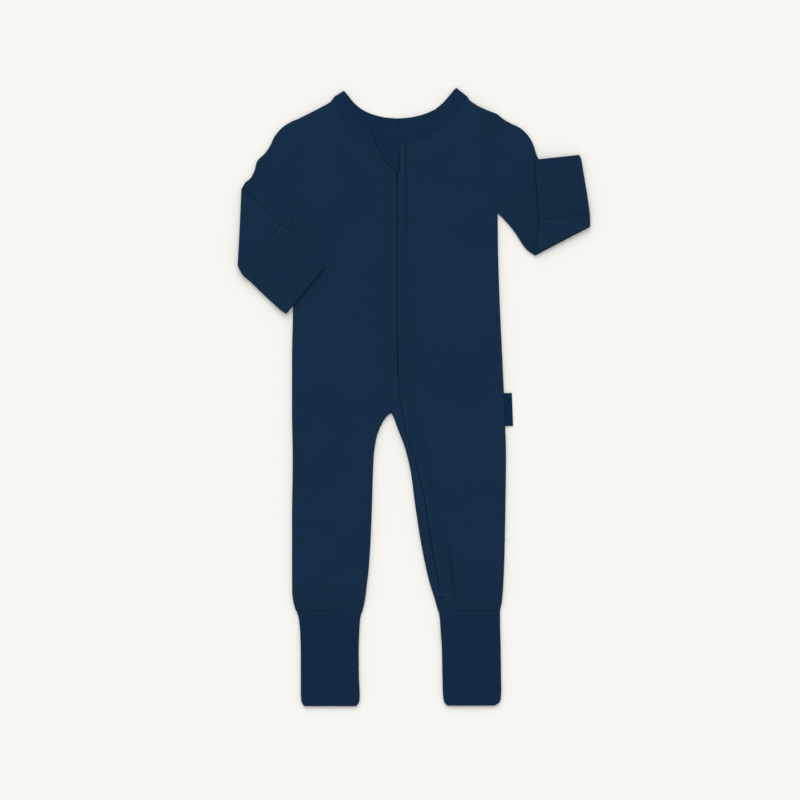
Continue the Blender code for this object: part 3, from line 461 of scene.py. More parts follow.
def put_mesh(name, points, faces, corners=None, caps=(), smooth=True, crisp=0):
    """One mesh object from points in millimetres, turned so that its faces look outwards.

    corners holds the place of each face corner on the flat cloth, in millimetres, and
    caps are rings of corner numbers that close the ends of a solid, in the same sense
    of turning as the faces.  The caps and the last crisp faces keep sharp edges.
    """
    points = np.asarray(points, dtype=float)
    faces = np.asarray(faces)
    triangles = faces[:, :3]
    if faces.shape[1] == 4:
        triangles = np.vstack([triangles, faces[:, [0, 2, 3]]])
    a, b, c = (points[triangles[:, k]] for k in range(3))
    if np.einsum("ij,ij->i", a, np.cross(b, c)).sum() < 0:
        faces = faces[:, ::-1]
        caps = [cap[::-1] for cap in caps]
        corners = None if corners is None else corners[:, ::-1]
    size = np.concatenate([np.full(len(faces), faces.shape[1]), [len(cap) for cap in caps]]).astype(np.int32)
    loops = np.concatenate([faces.ravel(), *caps]).astype(np.int32)
    mesh = bpy.data.meshes.new(name)
    mesh.vertices.add(len(points))
    mesh.vertices.foreach_set("co", (points * MM).ravel().astype(np.float32))
    mesh.loops.add(len(loops))
    mesh.loops.foreach_set("vertex_index", loops)
    mesh.polygons.add(len(size))
    mesh.polygons.foreach_set("loop_start", np.concatenate([[0], np.cumsum(size)[:-1]]).astype(np.int32))
    mesh.update(calc_edges=True)
    if corners is not None:
        flat = np.zeros((len(loops), 2))
        flat[:faces.size] = corners.reshape(-1, 2)
        mesh.uv_layers.new(name="cloth").data.foreach_set("uv", (flat * MM).ravel().astype(np.float32))
    mesh.polygons.foreach_set("use_smooth", smooth & (np.arange(len(size)) < len(faces) - crisp))
    mesh.validate()
    item = bpy.data.objects.new(name, mesh)
    bpy.context.scene.collection.objects.link(item)
    return item


def shell(name, upper, lower, flat, around=False):
    """A closed shell between two grids.

    flat holds each grid point's place on the flat cloth, in millimetres.  For a ring
    it has one column more than the grid, the first column's place once round.
    """
    rows, columns = upper.shape[:2]
    count = rows * columns
    sheet = quads(rows, columns, around)
    ends = rim(rows, columns, around)
    faces = np.vstack([sheet, sheet[:, ::-1] + count, ends])
    points = np.vstack([upper.reshape(-1, 3), lower.reshape(-1, 3)])
    on_sheet = flat.reshape(-1, 2)[quads(rows, flat.shape[1], False)]
    on_ends = flat[:, :columns].reshape(-1, 2)[ends % count]
    return put_mesh(name, points, faces, np.vstack([on_sheet, on_sheet[:, ::-1], on_ends]), crisp=len(ends))


# ---------------------------------------------------------------- creases

# Fronts: (width, height, lean, path from one end to the other)
FRONT_CREASES = (
    Crease(1.1, -2.4, 1.0, ((35.5, -146), (36.3, -160), (37.8, -175), (39.3, -190), (41.3, -201),
                            (46, -212))),
    Crease(3.0, 1.2, 1.0, ((40.5, -148), (41.5, -165), (43.5, -185), (48, -206))),
    Crease(7.5, 1.5, 1.6, ((1, 10), (3, -8), (9, -27), (16, -49), (20, -71), (22.5, -104))),
    Crease(5.0, 0.9, 1.3, ((31, -65), (32.5, -88), (34, -113))),
    Crease(9.0, 1.0, 1.0, ((53, -32), (53.5, -80), (52, -132))),
    Crease(6.0, 0.9, 1.3, ((59, -152), (60, -166), (61.5, -179))),
    Crease(4.5, 0.8, 1.5, ((-96, -187), (-80, -188.5), (-64, -187))),
    Crease(10.0, 0.9, 1.0, ((-58, -176), (-53, -190), (-55, -206))),
    Crease(14.0, 0.8, 1.2, ((-104, 20), (-76, 6), (-48, -10))),
    Crease(12.0, 0.8, 1.3, ((-112, -60), (-88, -58), (-60, -72))),
    Crease(16.0, 0.9, 1.0, ((-70, 215), (-78, 180), (-74, 130))),
    Crease(18.0, 0.9, 1.0, ((40, 235), (46, 190), (42, 120))),
    Crease(10.0, 0.7, 1.4, ((72, 196), (52, 180), (30, 172))),
    Crease(12.0, 0.6, 1.2, ((20, 60), (46, 48), (74, 52))),
)
# Backs, hidden under the garment
BACK_CREASES = (
    Crease(7.0, 0.5, 1.3, ((-100, 190), (-70, 175), (-40, 180))),
    Crease(8.0, 0.5, 1.0, ((60, 120), (40, 60), (44, 0))),
)
SLEEVE_RIGHT_CREASES = (
    Crease(5.0, 1.0, 1.3, ((-150, 240), (-140, 226), (-134, 205))),
    Crease(6.0, 0.8, 1.2, ((-124, 262), (-132, 240), (-128, 214))),
    Crease(3.6, 1.2, 1.0, ((-168, 210.5), (-151, 195), (-133, 176))),
)
SLEEVE_LEFT_CREASES = (
    Crease(6.0, 0.9, 1.2, ((92, 262), (100, 240), (98, 214))),
    Crease(5.0, 0.8, 1.3, ((104, 250), (112, 226), (108, 200))),
)
FOREARM_RIGHT_CREASES = (
    Crease(6.0, 0.6, 1.3, ((-166, 172), (-160, 158), (-150, 150))),
)
FOREARM_LEFT_CREASES = (
    Crease(4.0, 0.5, 1.2, ((168, 172), (150, 168), (132, 170))),
)

# How deep each seam sinks: rows of (x or y along the seam, depth), or one depth all along it
SEAM_DEPTHS = {
    "right": {
        "neck": 0.1, "shoulder": 0.14,
        "armhole": ((184, 0.0), (236, 0.0), (244, 0.12), (256, 0.12), (262, 0.0)),
        "ankle": ((-120, 0.7), (-84, 0.6), (-76, 0.1), (-50, 0.06)),
        "lip": ((-16, 0.25), (2, 0.3), (24, 0.05), (70, 0.05), (90, 0.25), (196, 0.3), (206, 0.4), (214, 0.0),
                (260, 0.0)),
    },
    "left": {
        "neck": 0.1, "shoulder": 0.14,
        "armhole": ((184, 0.03), (230, 0.03), (240, 0.15), (262, 0.15), (270, 0.05)),
        "ankle": ((24, 0.08), (40, 0.1), (48, 0.8), (76, 0.7), (84, 0.1)),
        "lip": ((-214, 0.05), (40, 0.08), (64, 0.35), (150, 0.45), (190, 0.8), (256, 0.9)),
    },
}
# Seams in front of the shoulders, from the armhole to the neckband
FORWARD_SEAM = {
    "right": ((-123, 260), (-99, 266), (-87, 276), (-81, 289)),
    "left": ((76, 271), (63, 281), (54, 293)),
}


# ---------------------------------------------------------------- panels

def ridge(distance):
    """Lift of a front beside the zip: SEAM_LIFT at the lip, fading out over RIDGE_REACH."""
    return SEAM_LIFT * (1.0 - smooth_step((distance - LIP_WIDTH) / RIDGE_REACH))


def slider_lift(y):
    """Extra lift where the slider and its pull lie under the lips."""
    low, high = SLIDER_ROOM
    return SLIDER_LIFT * smooth_step((y - low) / SLIDER_EASE + 1) * smooth_step((high - y) / SLIDER_EASE + 1)


def row_heights(top):
    """Heights of a panel's rows along one edge, close together at both ends.

    Down to the armpit each row is at the same share of the way on every edge, and below
    it at the same height.
    """
    upper = top - np.array(EDGE_STEPS)
    chest = np.linspace(upper[-1], ARMPIT_Y, 44)[1:]
    body = np.linspace(ARMPIT_Y, CROTCH_Y, 100)[1:]
    leg = np.linspace(CROTCH_Y, ANKLE_Y + EDGE_STEPS[-1], 100)[1:]
    return np.concatenate([upper, chest, body, leg, ANKLE_Y + np.array(EDGE_STEPS)[-2::-1]])


def panel_plan(side, centre, top_line, spacing):
    """Plan of a front or back.

    Each row is a straight line a + u (b - a) from the side edge to the centre edge.
    The top row is raised to the shoulder and neck line, and that rise fades to
    nothing at the armpit as a power of the height.
    """
    top_line = np.asarray(top_line, dtype=float)
    y_side = row_heights(top_line[0][1])
    y_centre = row_heights(top_line[-1][1])
    a = edge_points(side, y_side)
    b = centre(y_centre)
    a[0], b[0] = top_line[0], top_line[-1]
    width = np.linalg.norm(b - a, axis=1)
    u = columns_between(width.max(), EDGE_STEPS, int(width.max() / spacing))
    plan = a[:, None] + u[None, :, None] * (b - a)[:, None]
    order = np.argsort(top_line[:, 0])
    wanted = np.interp(plan[0, :, 0], top_line[order, 0], top_line[order, 1])
    fade = np.clip((y_side - ARMPIT_Y) / (y_side[0] - ARMPIT_Y), 0.0, 1.0) ** 1.5
    plan[:, :, 1] += fade[:, None] * (wanted - plan[0, :, 1])[None, :]
    return plan


def seam_of(rows):
    """The neckband's seam line, from the shoulder tip towards the centre."""
    return [(row.seam_x, row.seam_y) for row in rows]


def tube_outline(rows):
    """A flattened tube's outline in plan: along its outer edge and back along its under edge."""
    under = [(row.under_x, row.under_y) for row in rows]
    return [(row.outer_x, row.outer_y) for row in rows] + under[::-1]


def turned_edges(side, inseam, shoulder):
    """Lines along which a front and a back are sewn together, where they show."""
    top = COVERED_Y if side is SIDE_RIGHT else ARMPIT_Y + 6
    lines = [edge_points(side, np.linspace(top, ANKLE_Y, 60)), shoulder]
    if inseam:
        lines.append(edge_points(inseam, np.linspace(CROTCH_Y, ANKLE_Y, 60)))
    return lines


def air(plan):
    """Room for air and creases under a front: none where the right sleeve's cuff lies on it, 1 elsewhere."""
    middle = np.mean(tube_outline(CUFF_RIGHT), axis=0)
    away = np.linalg.norm(plan - middle, axis=-1) / CUFF_COVER
    return smooth_step((away - 0.75) / 0.5)


def back_panel(name, side, inseam, shoulder, band_rows):
    """A back: its lower face lies on the floor and curves up to the seam level at the sewn edges."""
    def centre(ys):
        above = edge_x(CENTRE_BACK, ys)
        return np.stack([np.where(ys >= CROTCH_Y, above, edge_x(inseam, ys)), ys], axis=-1)

    plan = panel_plan(side, centre, list(shoulder[:-1]) + seam_of(band_rows), BACK_SPACING)
    edge = distance_to(turned_edges(side, inseam, shoulder), plan)
    soft = smooth_step((edge - 4.0) / 12.0)
    lift = np.clip(creased(BACK_CREASES, plan) * soft, 0.0, LAYER_GAP * 0.8)
    under = rounded(edge, EDGE_ROUND, MEET - SEWN_EDGE) + lift
    top = BACK_TOP + (MEET - BACK_TOP) * (1 - smooth_step(edge / EDGE_ROUND)) + lift
    return shell(name, with_height(plan, np.maximum(top, under + THINNEST)), with_height(plan, under), plan)


def sewn(near, depth):
    """A sewn seam at the distance near: a narrow dip on the stitching and a low swell over the turnings.

    Both are bells, exp(-(d / width)^2).
    """
    return depth * (0.45 * np.exp(-((near - 3.2) / 1.6) ** 2) - np.exp(-(near / 0.8) ** 2))


def strength(table, places):
    """How strong a seam shows at the given places, between the rows (place, depth) of its table."""
    rows = np.array(sorted(table), dtype=float)
    return np.interp(places, rows[:, 0], rows[:, 1])


def settled_at_neck(lift, neck, plan):
    """The lift, brought to NECK_RISE at the neckband's seam over 20 mm."""
    return NECK_RISE + (lift - NECK_RISE) * smooth_step(distance_to([neck], plan) / 20.0)


def front_heights(plan, side, inseam, shoulder, zip_edge, neck, lip_seam, shoulder_seam):
    """Lower and upper face of a front.

    Its lift is the ridge beside the zip plus air and creases, less the seams; both
    faces meet at the sewn edges.
    """
    x, y = plan[..., 0], plan[..., 1]
    zip_ys = np.linspace(zip_edge[0].y, CROTCH_Y if inseam else ANKLE_Y, 120)
    to_zip = distance_to([edge_points(zip_edge, zip_ys)], plan)
    lift = ridge(to_zip)
    if inseam:
        lift = lift * smooth_step((y - CROTCH_Y) / 20.0)
    lift = lift + slider_lift(y) * (1 - smooth_step((to_zip - LIP_WIDTH) / SLIDER_REACH))
    edge = distance_to(turned_edges(side, inseam, shoulder), plan)
    armhole = edge_points(side, np.linspace(ARMPIT_Y, shoulder[0][1], 30))
    ankle = [(plan[-1, 0, 0], ANKLE_Y), (plan[-1, -1, 0], ANKLE_Y)]
    held = smooth_step(distance_to([armhole, ankle], plan) / 9.0)
    free = smooth_step(edge / 1.4) * air(plan) * smooth_step((to_zip - LIP_WIDTH) / 9.0) * held
    lift = lift + free * (PUFF + smooth_step(edge / 20.0) * rolling(plan, 11, 70.0, 0.55))
    crease = creased(FRONT_CREASES, plan) * smooth_step((edge - 0.5) / 7.0) * air(plan) * held
    lift = np.maximum(lift + crease, 0.0)
    lift = settled_at_neck(lift * smooth_step((y - ANKLE_Y) / 12.0), neck, plan)
    depths = SEAM_DEPTHS["right" if inseam else "left"]
    lift = lift + sewn(distance_to([neck], plan), depths["neck"])
    lift = lift + sewn(distance_to([armhole], plan), strength(depths["armhole"], y))
    lift = lift + sewn(distance_to([ankle], plan), strength(depths["ankle"], x))
    lift = lift + sewn(distance_to([shoulder_seam], plan), depths["shoulder"]) * air(plan)
    beside = distance_to([edge_points(lip_seam, np.linspace(lip_seam[0].y, lip_seam[-1].y, 160))], plan)
    lift = lift - strength(depths["lip"], y) * np.exp(-(beside / 0.9) ** 2)
    under = FRONT_UNDER + lift - (FRONT_UNDER - MEET) * (1 - smooth_step(edge / EDGE_ROUND))
    top = FRONT_TOP + lift - rounded(edge, EDGE_ROUND, FRONT_TOP - MEET - SEWN_EDGE)
    return np.minimum(under, top - THINNEST), top


def front_panel(name, side, inseam, shoulder, band_rows, lip_seam, zip_edge):
    """A front: it lies on the back and rises in a low ridge towards the zip."""
    def centre(ys):
        above = edge_x(lip_seam, ys)
        if not inseam:
            return np.stack([above, ys], axis=-1)
        return np.stack([np.where(ys >= CROTCH_Y, above, edge_x(inseam, ys)), ys], axis=-1)

    seam = np.array(seam_of(band_rows), dtype=float)
    order = np.argsort(seam[:, 0])
    end = (lip_seam[0].x, float(np.interp(lip_seam[0].x, seam[order, 0], seam[order, 1])))
    outward = np.sign(shoulder[-1][0] - end[0])
    kept = [tuple(point) for point in seam if (point[0] - end[0]) * outward > 2.0]
    plan = panel_plan(side, centre, list(shoulder[:-1]) + kept + [end], FRONT_SPACING)
    under, top = front_heights(plan, side, inseam, shoulder, zip_edge, seam, lip_seam,
                               FORWARD_SEAM["right" if inseam else "left"])
    return shell(name, with_height(plan, top), with_height(plan, under), plan)


def zip_end(ys):
    """1 where the two lips are sewn together, at the end of the zip and below, and 0 above it."""
    return smooth_step((LIPS_JOIN_Y - ys) / 5.0)


def meeting(ys):
    """Share of the gap between the two lips that closes.

    It is most of the gap at the crotch, all of it below the zip and a little elsewhere.
    """
    crotch = smooth_step((24.0 - ys) / 20.0) * smooth_step((ys + 84.0) / 20.0)
    return np.maximum(0.2 + 0.55 * crotch, zip_end(ys))


def lip_strip(name, free_edge, seam, inseam, depths, neck):
    """A folded lip, from its free edge over the teeth to its stitched seam.

    Across the strip the height falls from LIP_LIFT to SEAM_LIFT as a smooth step;
    the folded edge is a half round, and the seam edge sinks into its stitching.
    Beside the stitching it puckers by the sum of two sine waves along the seam.
    """
    ys = row_heights(free_edge[0].y + 0.5)
    free = edge_points(free_edge, ys)
    free[0, 1] = ys[0]
    free[:, 0] += (0.3 if inseam else -0.3) * meeting(ys)
    fixed = edge_points(seam, row_heights(seam[0].y + 0.5))
    if inseam:
        on_leg = ys < CROTCH_Y
        fixed[on_leg] = edge_points(inseam, ys[on_leg])
    width = np.linalg.norm(fixed - free, axis=1)
    shares = np.linspace(0.0, 1.0, 16)[1:]
    across = np.concatenate([np.broadcast_to(LIP_STEPS, (len(ys), len(LIP_STEPS))),
                             LIP_FLAT + shares[None, :] * (width - LIP_FLAT)[:, None]], axis=1)
    u = across / width[:, None]
    plan = free[:, None] + u[..., None] * (fixed - free)[:, None]
    fall_off = smooth_step((across - LIP_FLAT) / (np.maximum(width, LIP_WIDTH) - LIP_FLAT)[:, None])
    lift = LIP_LIFT + (SEAM_LIFT - LIP_LIFT) * fall_off + slider_lift(ys)[:, None]
    lift = settled_at_neck(lift * smooth_step((ys - ANKLE_Y) / 12.0)[:, None], neck, plan)
    if not inseam:
        lift = lift - LIP_END_DIP * np.exp(-((ys - LIP_END_Y) / LIP_END_REACH) ** 2)[:, None]
    fold = rounded(across, LIP_ROUND, LIP / 2) * (1 - 0.9 * zip_end(ys))[:, None]
    to_seam = width[:, None] - across
    sunk = strength(depths, ys)[:, None] * np.exp(-(to_seam / 0.9) ** 2)
    sunk = sunk + 0.1 * np.exp(-((free[0, 1] - ys) / 0.8) ** 2)[:, None]
    wave = 0.10 * np.sin(ys / 5.3) + 0.08 * np.sin(ys / 2.9 + 1.0)
    pucker = wave[:, None] * np.exp(-((to_seam - 2.2) / 2.0) ** 2)
    drop = fold + sunk - pucker
    if inseam:
        near = distance_to([edge_points(inseam, np.linspace(CROTCH_Y, ANKLE_Y, 60))], plan)
        leg = smooth_step((CROTCH_Y + 4 - plan[..., 1]) / 8)
        lift = lift * (1 - leg * (1 - smooth_step(near / EDGE_ROUND)))
        fall = rounded(near, EDGE_ROUND, LIP + FRONT_UNDER - MEET - SEWN_EDGE)
        drop = drop * (1 - leg * (1 - smooth_step(near / 2.0))) + leg * fall
    top = FRONT_UNDER + LIP + lift - drop - (LIP - JERSEY) * fall_off
    under = np.minimum(FRONT_UNDER + lift + fold * 0.8, top - 1.5 * THINNEST)
    flat = np.stack([across, np.broadcast_to(ys[:, None], across.shape)], axis=-1)
    return shell(name, with_height(plan, top), with_height(plan, under), flat)


# ---------------------------------------------------------------- tubes

def flat_ring(start, end, up, half, columns, slit=SLIT_HALF, taper=EDGE_ROUND, end_round=EDGE_ROUND):
    """One flattened ring about the line from start to end.

    Across the ring the outer face stays at half and ends in a half ellipse at each
    edge; the inner face is the same line, one wall thinner.  Both run once round.
    A taper longer than EDGE_ROUND thins the start edge down on to what it lies on.
    """
    length = np.linalg.norm(end - start)
    way = (end - start) / length
    across = columns_between(length, EDGE_STEPS, columns) * length
    to_edge = np.minimum(across, length - across)
    reach = np.where(across < length / 2, taper, end_round)
    bulge = np.maximum(np.sqrt(1 - np.clip(1 - to_edge / reach, 0, 1) ** 2), 0.02)
    settled = (half + LAYER_GAP * 0.85) * (1 - bulge) * (across < length / 2) * (taper > EDGE_ROUND)
    wall = half - slit
    inner = wall + across * (length - 2 * wall) / length
    height, inner_height = half * bulge, slit * bulge
    outer_loop = np.concatenate([start + across[:, None] * way + height[:, None] * up,
                                 (start + across[:, None] * way - height[:, None] * up)[::-1]])
    inner_loop = np.concatenate([start + inner[:, None] * way + inner_height[:, None] * up,
                                 (start + inner[:, None] * way - inner_height[:, None] * up)[::-1]])
    for loop in (outer_loop, inner_loop):
        loop[:, 2] -= np.concatenate([settled, settled[::-1]])
    round_once = np.concatenate([across, length + across, [2 * length]])
    return outer_loop, inner_loop, round_once


def ring_shell(name, rings, runs, lift=None):
    """A tube from its rings; runs holds how far along the cloth each ring lies."""
    outer = np.array([ring[0] for ring in rings])
    inner = np.array([ring[1] for ring in rings])
    if lift is not None:
        outer, inner = outer + lift[0], inner + lift[1]
    round_once = np.array([ring[2] for ring in rings])
    flat = np.stack([round_once, np.broadcast_to(np.array(runs)[:, None], round_once.shape)], axis=-1)
    return shell(name, outer, inner, flat, around=True)


def middles(rows):
    """Points midway between the two edges of each row, in plan."""
    return np.stack([(rows[:, 0] + rows[:, 2]) / 2, (rows[:, 1] + rows[:, 3]) / 2], axis=-1)


def ends(row, z):
    """A row's two edge points at height z."""
    return np.array((row[0], row[1], z)), np.array((row[2], row[3], z))


def creases_on(rings, creases, upper_first, margin):
    """Lift of a tube's upper wall by creases in plan; the lower wall stays where it lies.

    The upper wall is the first half of each ring where upper_first is true and the
    second half where it isn't.  The creases begin margin columns in from its edges.
    """
    lifts = []
    for layer in (0, 1):
        points = np.array([ring[layer] for ring in rings])
        columns = points.shape[1] // 2
        upper = slice(0, columns) if upper_first else slice(columns, None)
        from_edge = np.minimum(np.arange(columns), np.arange(columns)[::-1])
        lift = np.zeros_like(points)
        lift[:, upper, 2] = creased(creases, points[:, upper, :2]) * smooth_step((from_edge - margin) / 6.0)
        lifts.append(lift)
    return lifts


def moved_on(row, next_row, line, outward):
    """The row, slid along the arm so that its middle lies on the given line."""
    here, there = ((middles(r[None])[0] - line) @ outward[:2] for r in (row, next_row))
    return row + (next_row - row) * here / (here - there)


def bend_to_armhole(rings, side):
    """Bends the first rings sideways to follow the armhole; the bend fades over nine rings."""
    bows = [edge_x(side, rings[0][layer][:, 1]) - rings[0][layer][:, 0] for layer in (0, 1)]
    for count, ring in enumerate(rings):
        for layer in (0, 1):
            ring[layer][:, 0] += bows[layer] * (1 - smooth_step(count / 9.0))


def sink_seam(rings, side, depths):
    """Sinks the armhole's seam in the upper wall of the sleeve's rings."""
    for outer, *_ in rings:
        upper = outer[:len(outer) // 2]
        upper[:, 2] += sewn(np.abs(upper[:, 0] - edge_x(side, upper[:, 1])), strength(depths, upper[:, 1]))


def fold_rings(rows, outward, turn):
    """Rings that swing through half a turn about the fold line.

    rows are the arm's rows just before the fold, at it and just after it.  Each ring's
    two ends run on a parabola through the ends of those rows.
    """
    corners = [np.array(ends(row, TUBE_HALF)) for row in rows]
    corners[1] = corners[1] - outward * (turn + TUBE_HALF)
    rings = []
    for angle in np.linspace(0, np.pi, 15):
        swing = outward * np.sin(angle) * turn + UP * (1 - np.cos(angle)) * turn
        lean = UP * np.cos(angle) - outward * np.sin(angle)
        share = angle / np.pi
        parts = ((1 - share) * (1 - 2 * share), 4 * share * (1 - share), share * (2 * share - 1))
        start, end = sum(part * corner for part, corner in zip(parts, corners))
        rings.append(flat_ring(start + swing, end + swing, lean, TUBE_HALF, SLEEVE_COLUMNS))
    return rings


def sleeve(name, upper_arm, forearm, side, creases_below, creases_above, seam_depths, taper, beside_body):
    """A flattened tube from the armhole to its fold, turned over there, and on to the cuff seam.

    Rows of the arm lie on a smooth curve through the table.  Beside the body the
    sleeve's under edge is nearly square, and over beside_body it becomes round.  The
    forearm's upper edge thins out over the taper.
    """
    turn = TUBE_HALF + LAYER_GAP / 2
    rows = flowing(upper_arm, 3.0)
    fold = rows[-1]
    start, end = ends(fold, TUBE_HALF)
    outward = np.cross((end - start) / np.linalg.norm(end - start), UP)
    if outward @ (start - ends(upper_arm[-2], TUBE_HALF)[0]) < 0:
        outward = -outward
    line = (start[:2] + end[:2]) / 2 - outward[:2] * (turn + TUBE_HALF)

    reach = (middles(rows) - line) @ outward[:2]
    last = moved_on(rows[reach < 0][-1], rows[reach >= 0][0], line, outward)
    rows = rows[reach < -0.5]
    away = np.abs(middles(rows)[:, 0] - middles(rows)[0, 0])
    end_rounds = 0.2 + (EDGE_ROUND - 0.2) * smooth_step(away / beside_body - 1)
    below = [flat_ring(*ends(row, TUBE_HALF), UP, TUBE_HALF, SLEEVE_COLUMNS, end_round=end_round)
             for row, end_round in zip(rows, end_rounds)]
    bend_to_armhole(below, side)
    lifts_below = creases_on(below, creases_below, True, 3)
    sink_seam(below, side, seam_depths)

    rows = flowing(forearm, 2.5)
    reach = (middles(rows) - line) @ outward[:2]
    first = moved_on(rows[reach >= 0][-1], rows[reach < 0][0], line, outward)
    rows = rows[reach < -0.5]
    tapers = EDGE_ROUND + (taper - EDGE_ROUND) * smooth_step(run_along(middles(rows)) / 6.0)
    above = [flat_ring(*ends(row, TUBE_HALF + 2 * turn), -UP, TUBE_HALF, SLEEVE_COLUMNS, taper=row_taper)
             for row, row_taper in zip(rows, tapers)]
    lifts_above = creases_on(above, creases_above, False, 2)

    turned = fold_rings((last, fold, first), outward, turn)
    lifts = [np.concatenate([low, np.zeros((len(turned), *low.shape[1:])), high])
             for low, high in zip(lifts_below, lifts_above)]
    rings = below + turned + above
    return ring_shell(name, rings, run_along([ring[0].mean(axis=0) for ring in rings]), lifts)


def beyond(outline, points):
    """Distance in plan from each point to a closed outline, and 0 inside it."""
    outline = np.asarray(outline, dtype=float)
    x, y = points[:, 0], points[:, 1]
    crossings = np.zeros(len(points), dtype=int)
    for (x0, y0), (x1, y1) in zip(outline, np.roll(outline, -1, axis=0)):
        if y0 != y1:
            at = x0 + (y - y0) / (y1 - y0) * (x1 - x0)
            crossings += ((y0 > y) != (y1 > y)) & (x < at)
    return np.where(crossings % 2, 0.0, distance_to([outline], points[:, :2], closed=True))


def cuff(name, rows, level, supports, seam_depths, taper):
    """A cuff of doubled rib: a flattened tube as thin as the jersey at its seam, and rounded at its open end.

    The open end's height falls by HEM_DROP as a quarter ellipse, and each rib is a low
    cosine wave across the cuff.  The seam sinks by seam_depths, rows of (share of the
    way across, depth), and the first edge thins out over the taper.  Beyond all of its
    supports, which are outlines in plan, the cuff sinks as a smooth step.
    """
    half = RIB + SLIT_HALF
    table = flowing(rows, 2.0)
    runs = run_along(middles(table))
    hem = runs[-1] - np.array((1.5, 1.0, 0.6, 0.3, 0.12))
    stops = np.sort(np.concatenate([(0.0, 0.4, 0.9, 1.5), runs[2:-1], hem, runs[-1:]]))
    table = np.stack([np.interp(stops, runs, table[:, k]) for k in range(4)], axis=-1)
    rings = []
    for run, row in zip(stops, table):
        fall = rounded(runs[-1] - run, HEM_REACH, HEM_DROP)
        ring = flat_ring(*ends(row, level), UP, half - fall, CUFF_COLUMNS, slit=SLIT_HALF + fall * 0.6,
                         taper=EDGE_ROUND + (taper - EDGE_ROUND) * run / runs[-1])
        columns = len(ring[0]) // 2
        across = ring[2][:columns]
        rib = RIB_DEPTH * np.cos(2 * np.pi * across / RIB_PITCH) * smooth_step(run / 3.0)
        ring[0][:columns, 2] += rib
        ring[0][columns:, 2] -= rib[::-1]
        thinner = 1 - (1 - TUBE_HALF / half) * (1 - smooth_step(run / 7.0))
        for points in ring[:2]:
            points[:, 2] = level - half + (points[:, 2] - level + half) * thinner
        ring[0][:columns, 2] += sewn(run, strength(seam_depths, across / across[-1]))
        if supports:
            for points in ring[:2]:
                away = np.min([beyond(outline, points) for outline in supports], axis=0)
                points[:, 2] -= SLEEVE_CUFF_SAG * smooth_step((away - SAG_START) / SAG_REACH)
        rings.append(ring)
    return ring_shell(name, rings, stops)


# ---------------------------------------------------------------- neckband

def band_ring(neck, seam, up, half):
    """A strip's section: a half round at the folded neck edge, a flat middle and a sunk stitched seam."""
    length = np.linalg.norm(seam - neck)
    way = (seam - neck) / length
    a = np.linspace(0, np.pi / 2, 7)
    nose = half * 1.1
    s = np.concatenate([nose * (1 - np.cos(a)), np.linspace(nose, length - 2.4, 14)[1:],
                        length - np.array((1.8, 1.3, 0.9, 0.5, 0.25, 0.0))])
    t = half * np.ones_like(s)
    t[:7] = half * np.sin(a)
    t -= 0.15 * np.exp(-((length - s) / 0.8) ** 2) * half
    t += 0.05 * np.exp(-((length - s - 3.0) / 1.4) ** 2)
    over = neck + s[:, None] * way + t[:, None] * up
    under = neck + s[1:, None] * way - t[1:, None] * up
    round_once = np.concatenate([s, 2 * length - s[1:][::-1], [2 * length]])
    return np.concatenate([over, under[::-1]]), round_once


def neckband(name, front_rows, back_rows, end_drop):
    """Half of the neckband: its front stretch, the turn at the shoulder tip, and its back stretch.

    The front end sinks by end_drop over its last few millimetres.  At the tip the
    strip swings through half a turn, and its seam reaches TIP_OVERLAP further.
    """
    half = BAND / 2
    turn = half + LAYER_GAP / 2
    upper = half + 2 * turn
    front = flowing(front_rows, 2.5)
    tip = front[-1]
    neck, seam = ends(tip, half)
    outward = np.cross(seam - neck, UP)
    outward /= np.linalg.norm(outward)
    if outward[1] < 0:
        outward = -outward
    neck, seam = (point - outward * (turn + half) for point in (neck, seam))
    seam = seam + (seam - neck) / np.linalg.norm(seam - neck) * TIP_OVERLAP
    foot = (neck + seam)[:2] / 2
    front = front[(middles(front) - foot) @ outward[:2] < -0.3]
    back = flowing(back_rows, 2.5)
    back = back[(middles(back) - foot) @ outward[:2] < -0.3]
    rings = []
    for row in front:
        sunk = end_drop * (1 - smooth_step(np.linalg.norm(middles(row[None]) - middles(front[:1])) / 5.0))
        rings.append(band_ring(*ends(row, upper - sunk / 2), UP, half - sunk / 2))
    for angle in np.linspace(np.pi, 0, 13):
        swing = outward * np.sin(angle) * turn + UP * (1 - np.cos(angle)) * turn
        lean = outward * np.sin(angle) - UP * np.cos(angle)
        rings.append(band_ring(neck + swing, seam + swing, lean, half))
    rings += [band_ring(*ends(row, half), -UP, half) for row in back]
    points = np.array([ring[0] for ring in rings])
    rows, columns = points.shape[:2]
    runs = run_along(points.mean(axis=1))
    faces = quads(rows, columns, True)
    across = np.array([ring[1] for ring in rings])
    flat = np.stack([across, np.broadcast_to(runs[:, None], across.shape)], axis=-1)
    corners = flat.reshape(-1, 2)[quads(rows, columns + 1, False)]
    first, last = np.arange(columns)[::-1], (rows - 1) * columns + np.arange(columns)
    return put_mesh(name, points.reshape(-1, 3), faces, corners, [first, last])


# ---------------------------------------------------------------- zip, label and sewing

def zip_line(edge, ys):
    """Points of a zip edge and the way across it, towards the wearer's right of the edge."""
    free = edge_points(edge, ys)
    way = np.gradient(free, axis=0)
    way /= np.linalg.norm(way, axis=1)[:, None]
    return free, np.stack([way[:, 1], -way[:, 0]], axis=-1)


def zip_spread(ys, closed_value, open_value):
    """From closed_value below the slider to open_value above it, as a smooth step over 10 mm."""
    return open_value + (closed_value - open_value) * smooth_step((SLIDER_LOW_Y - 2 - ys) / 10)


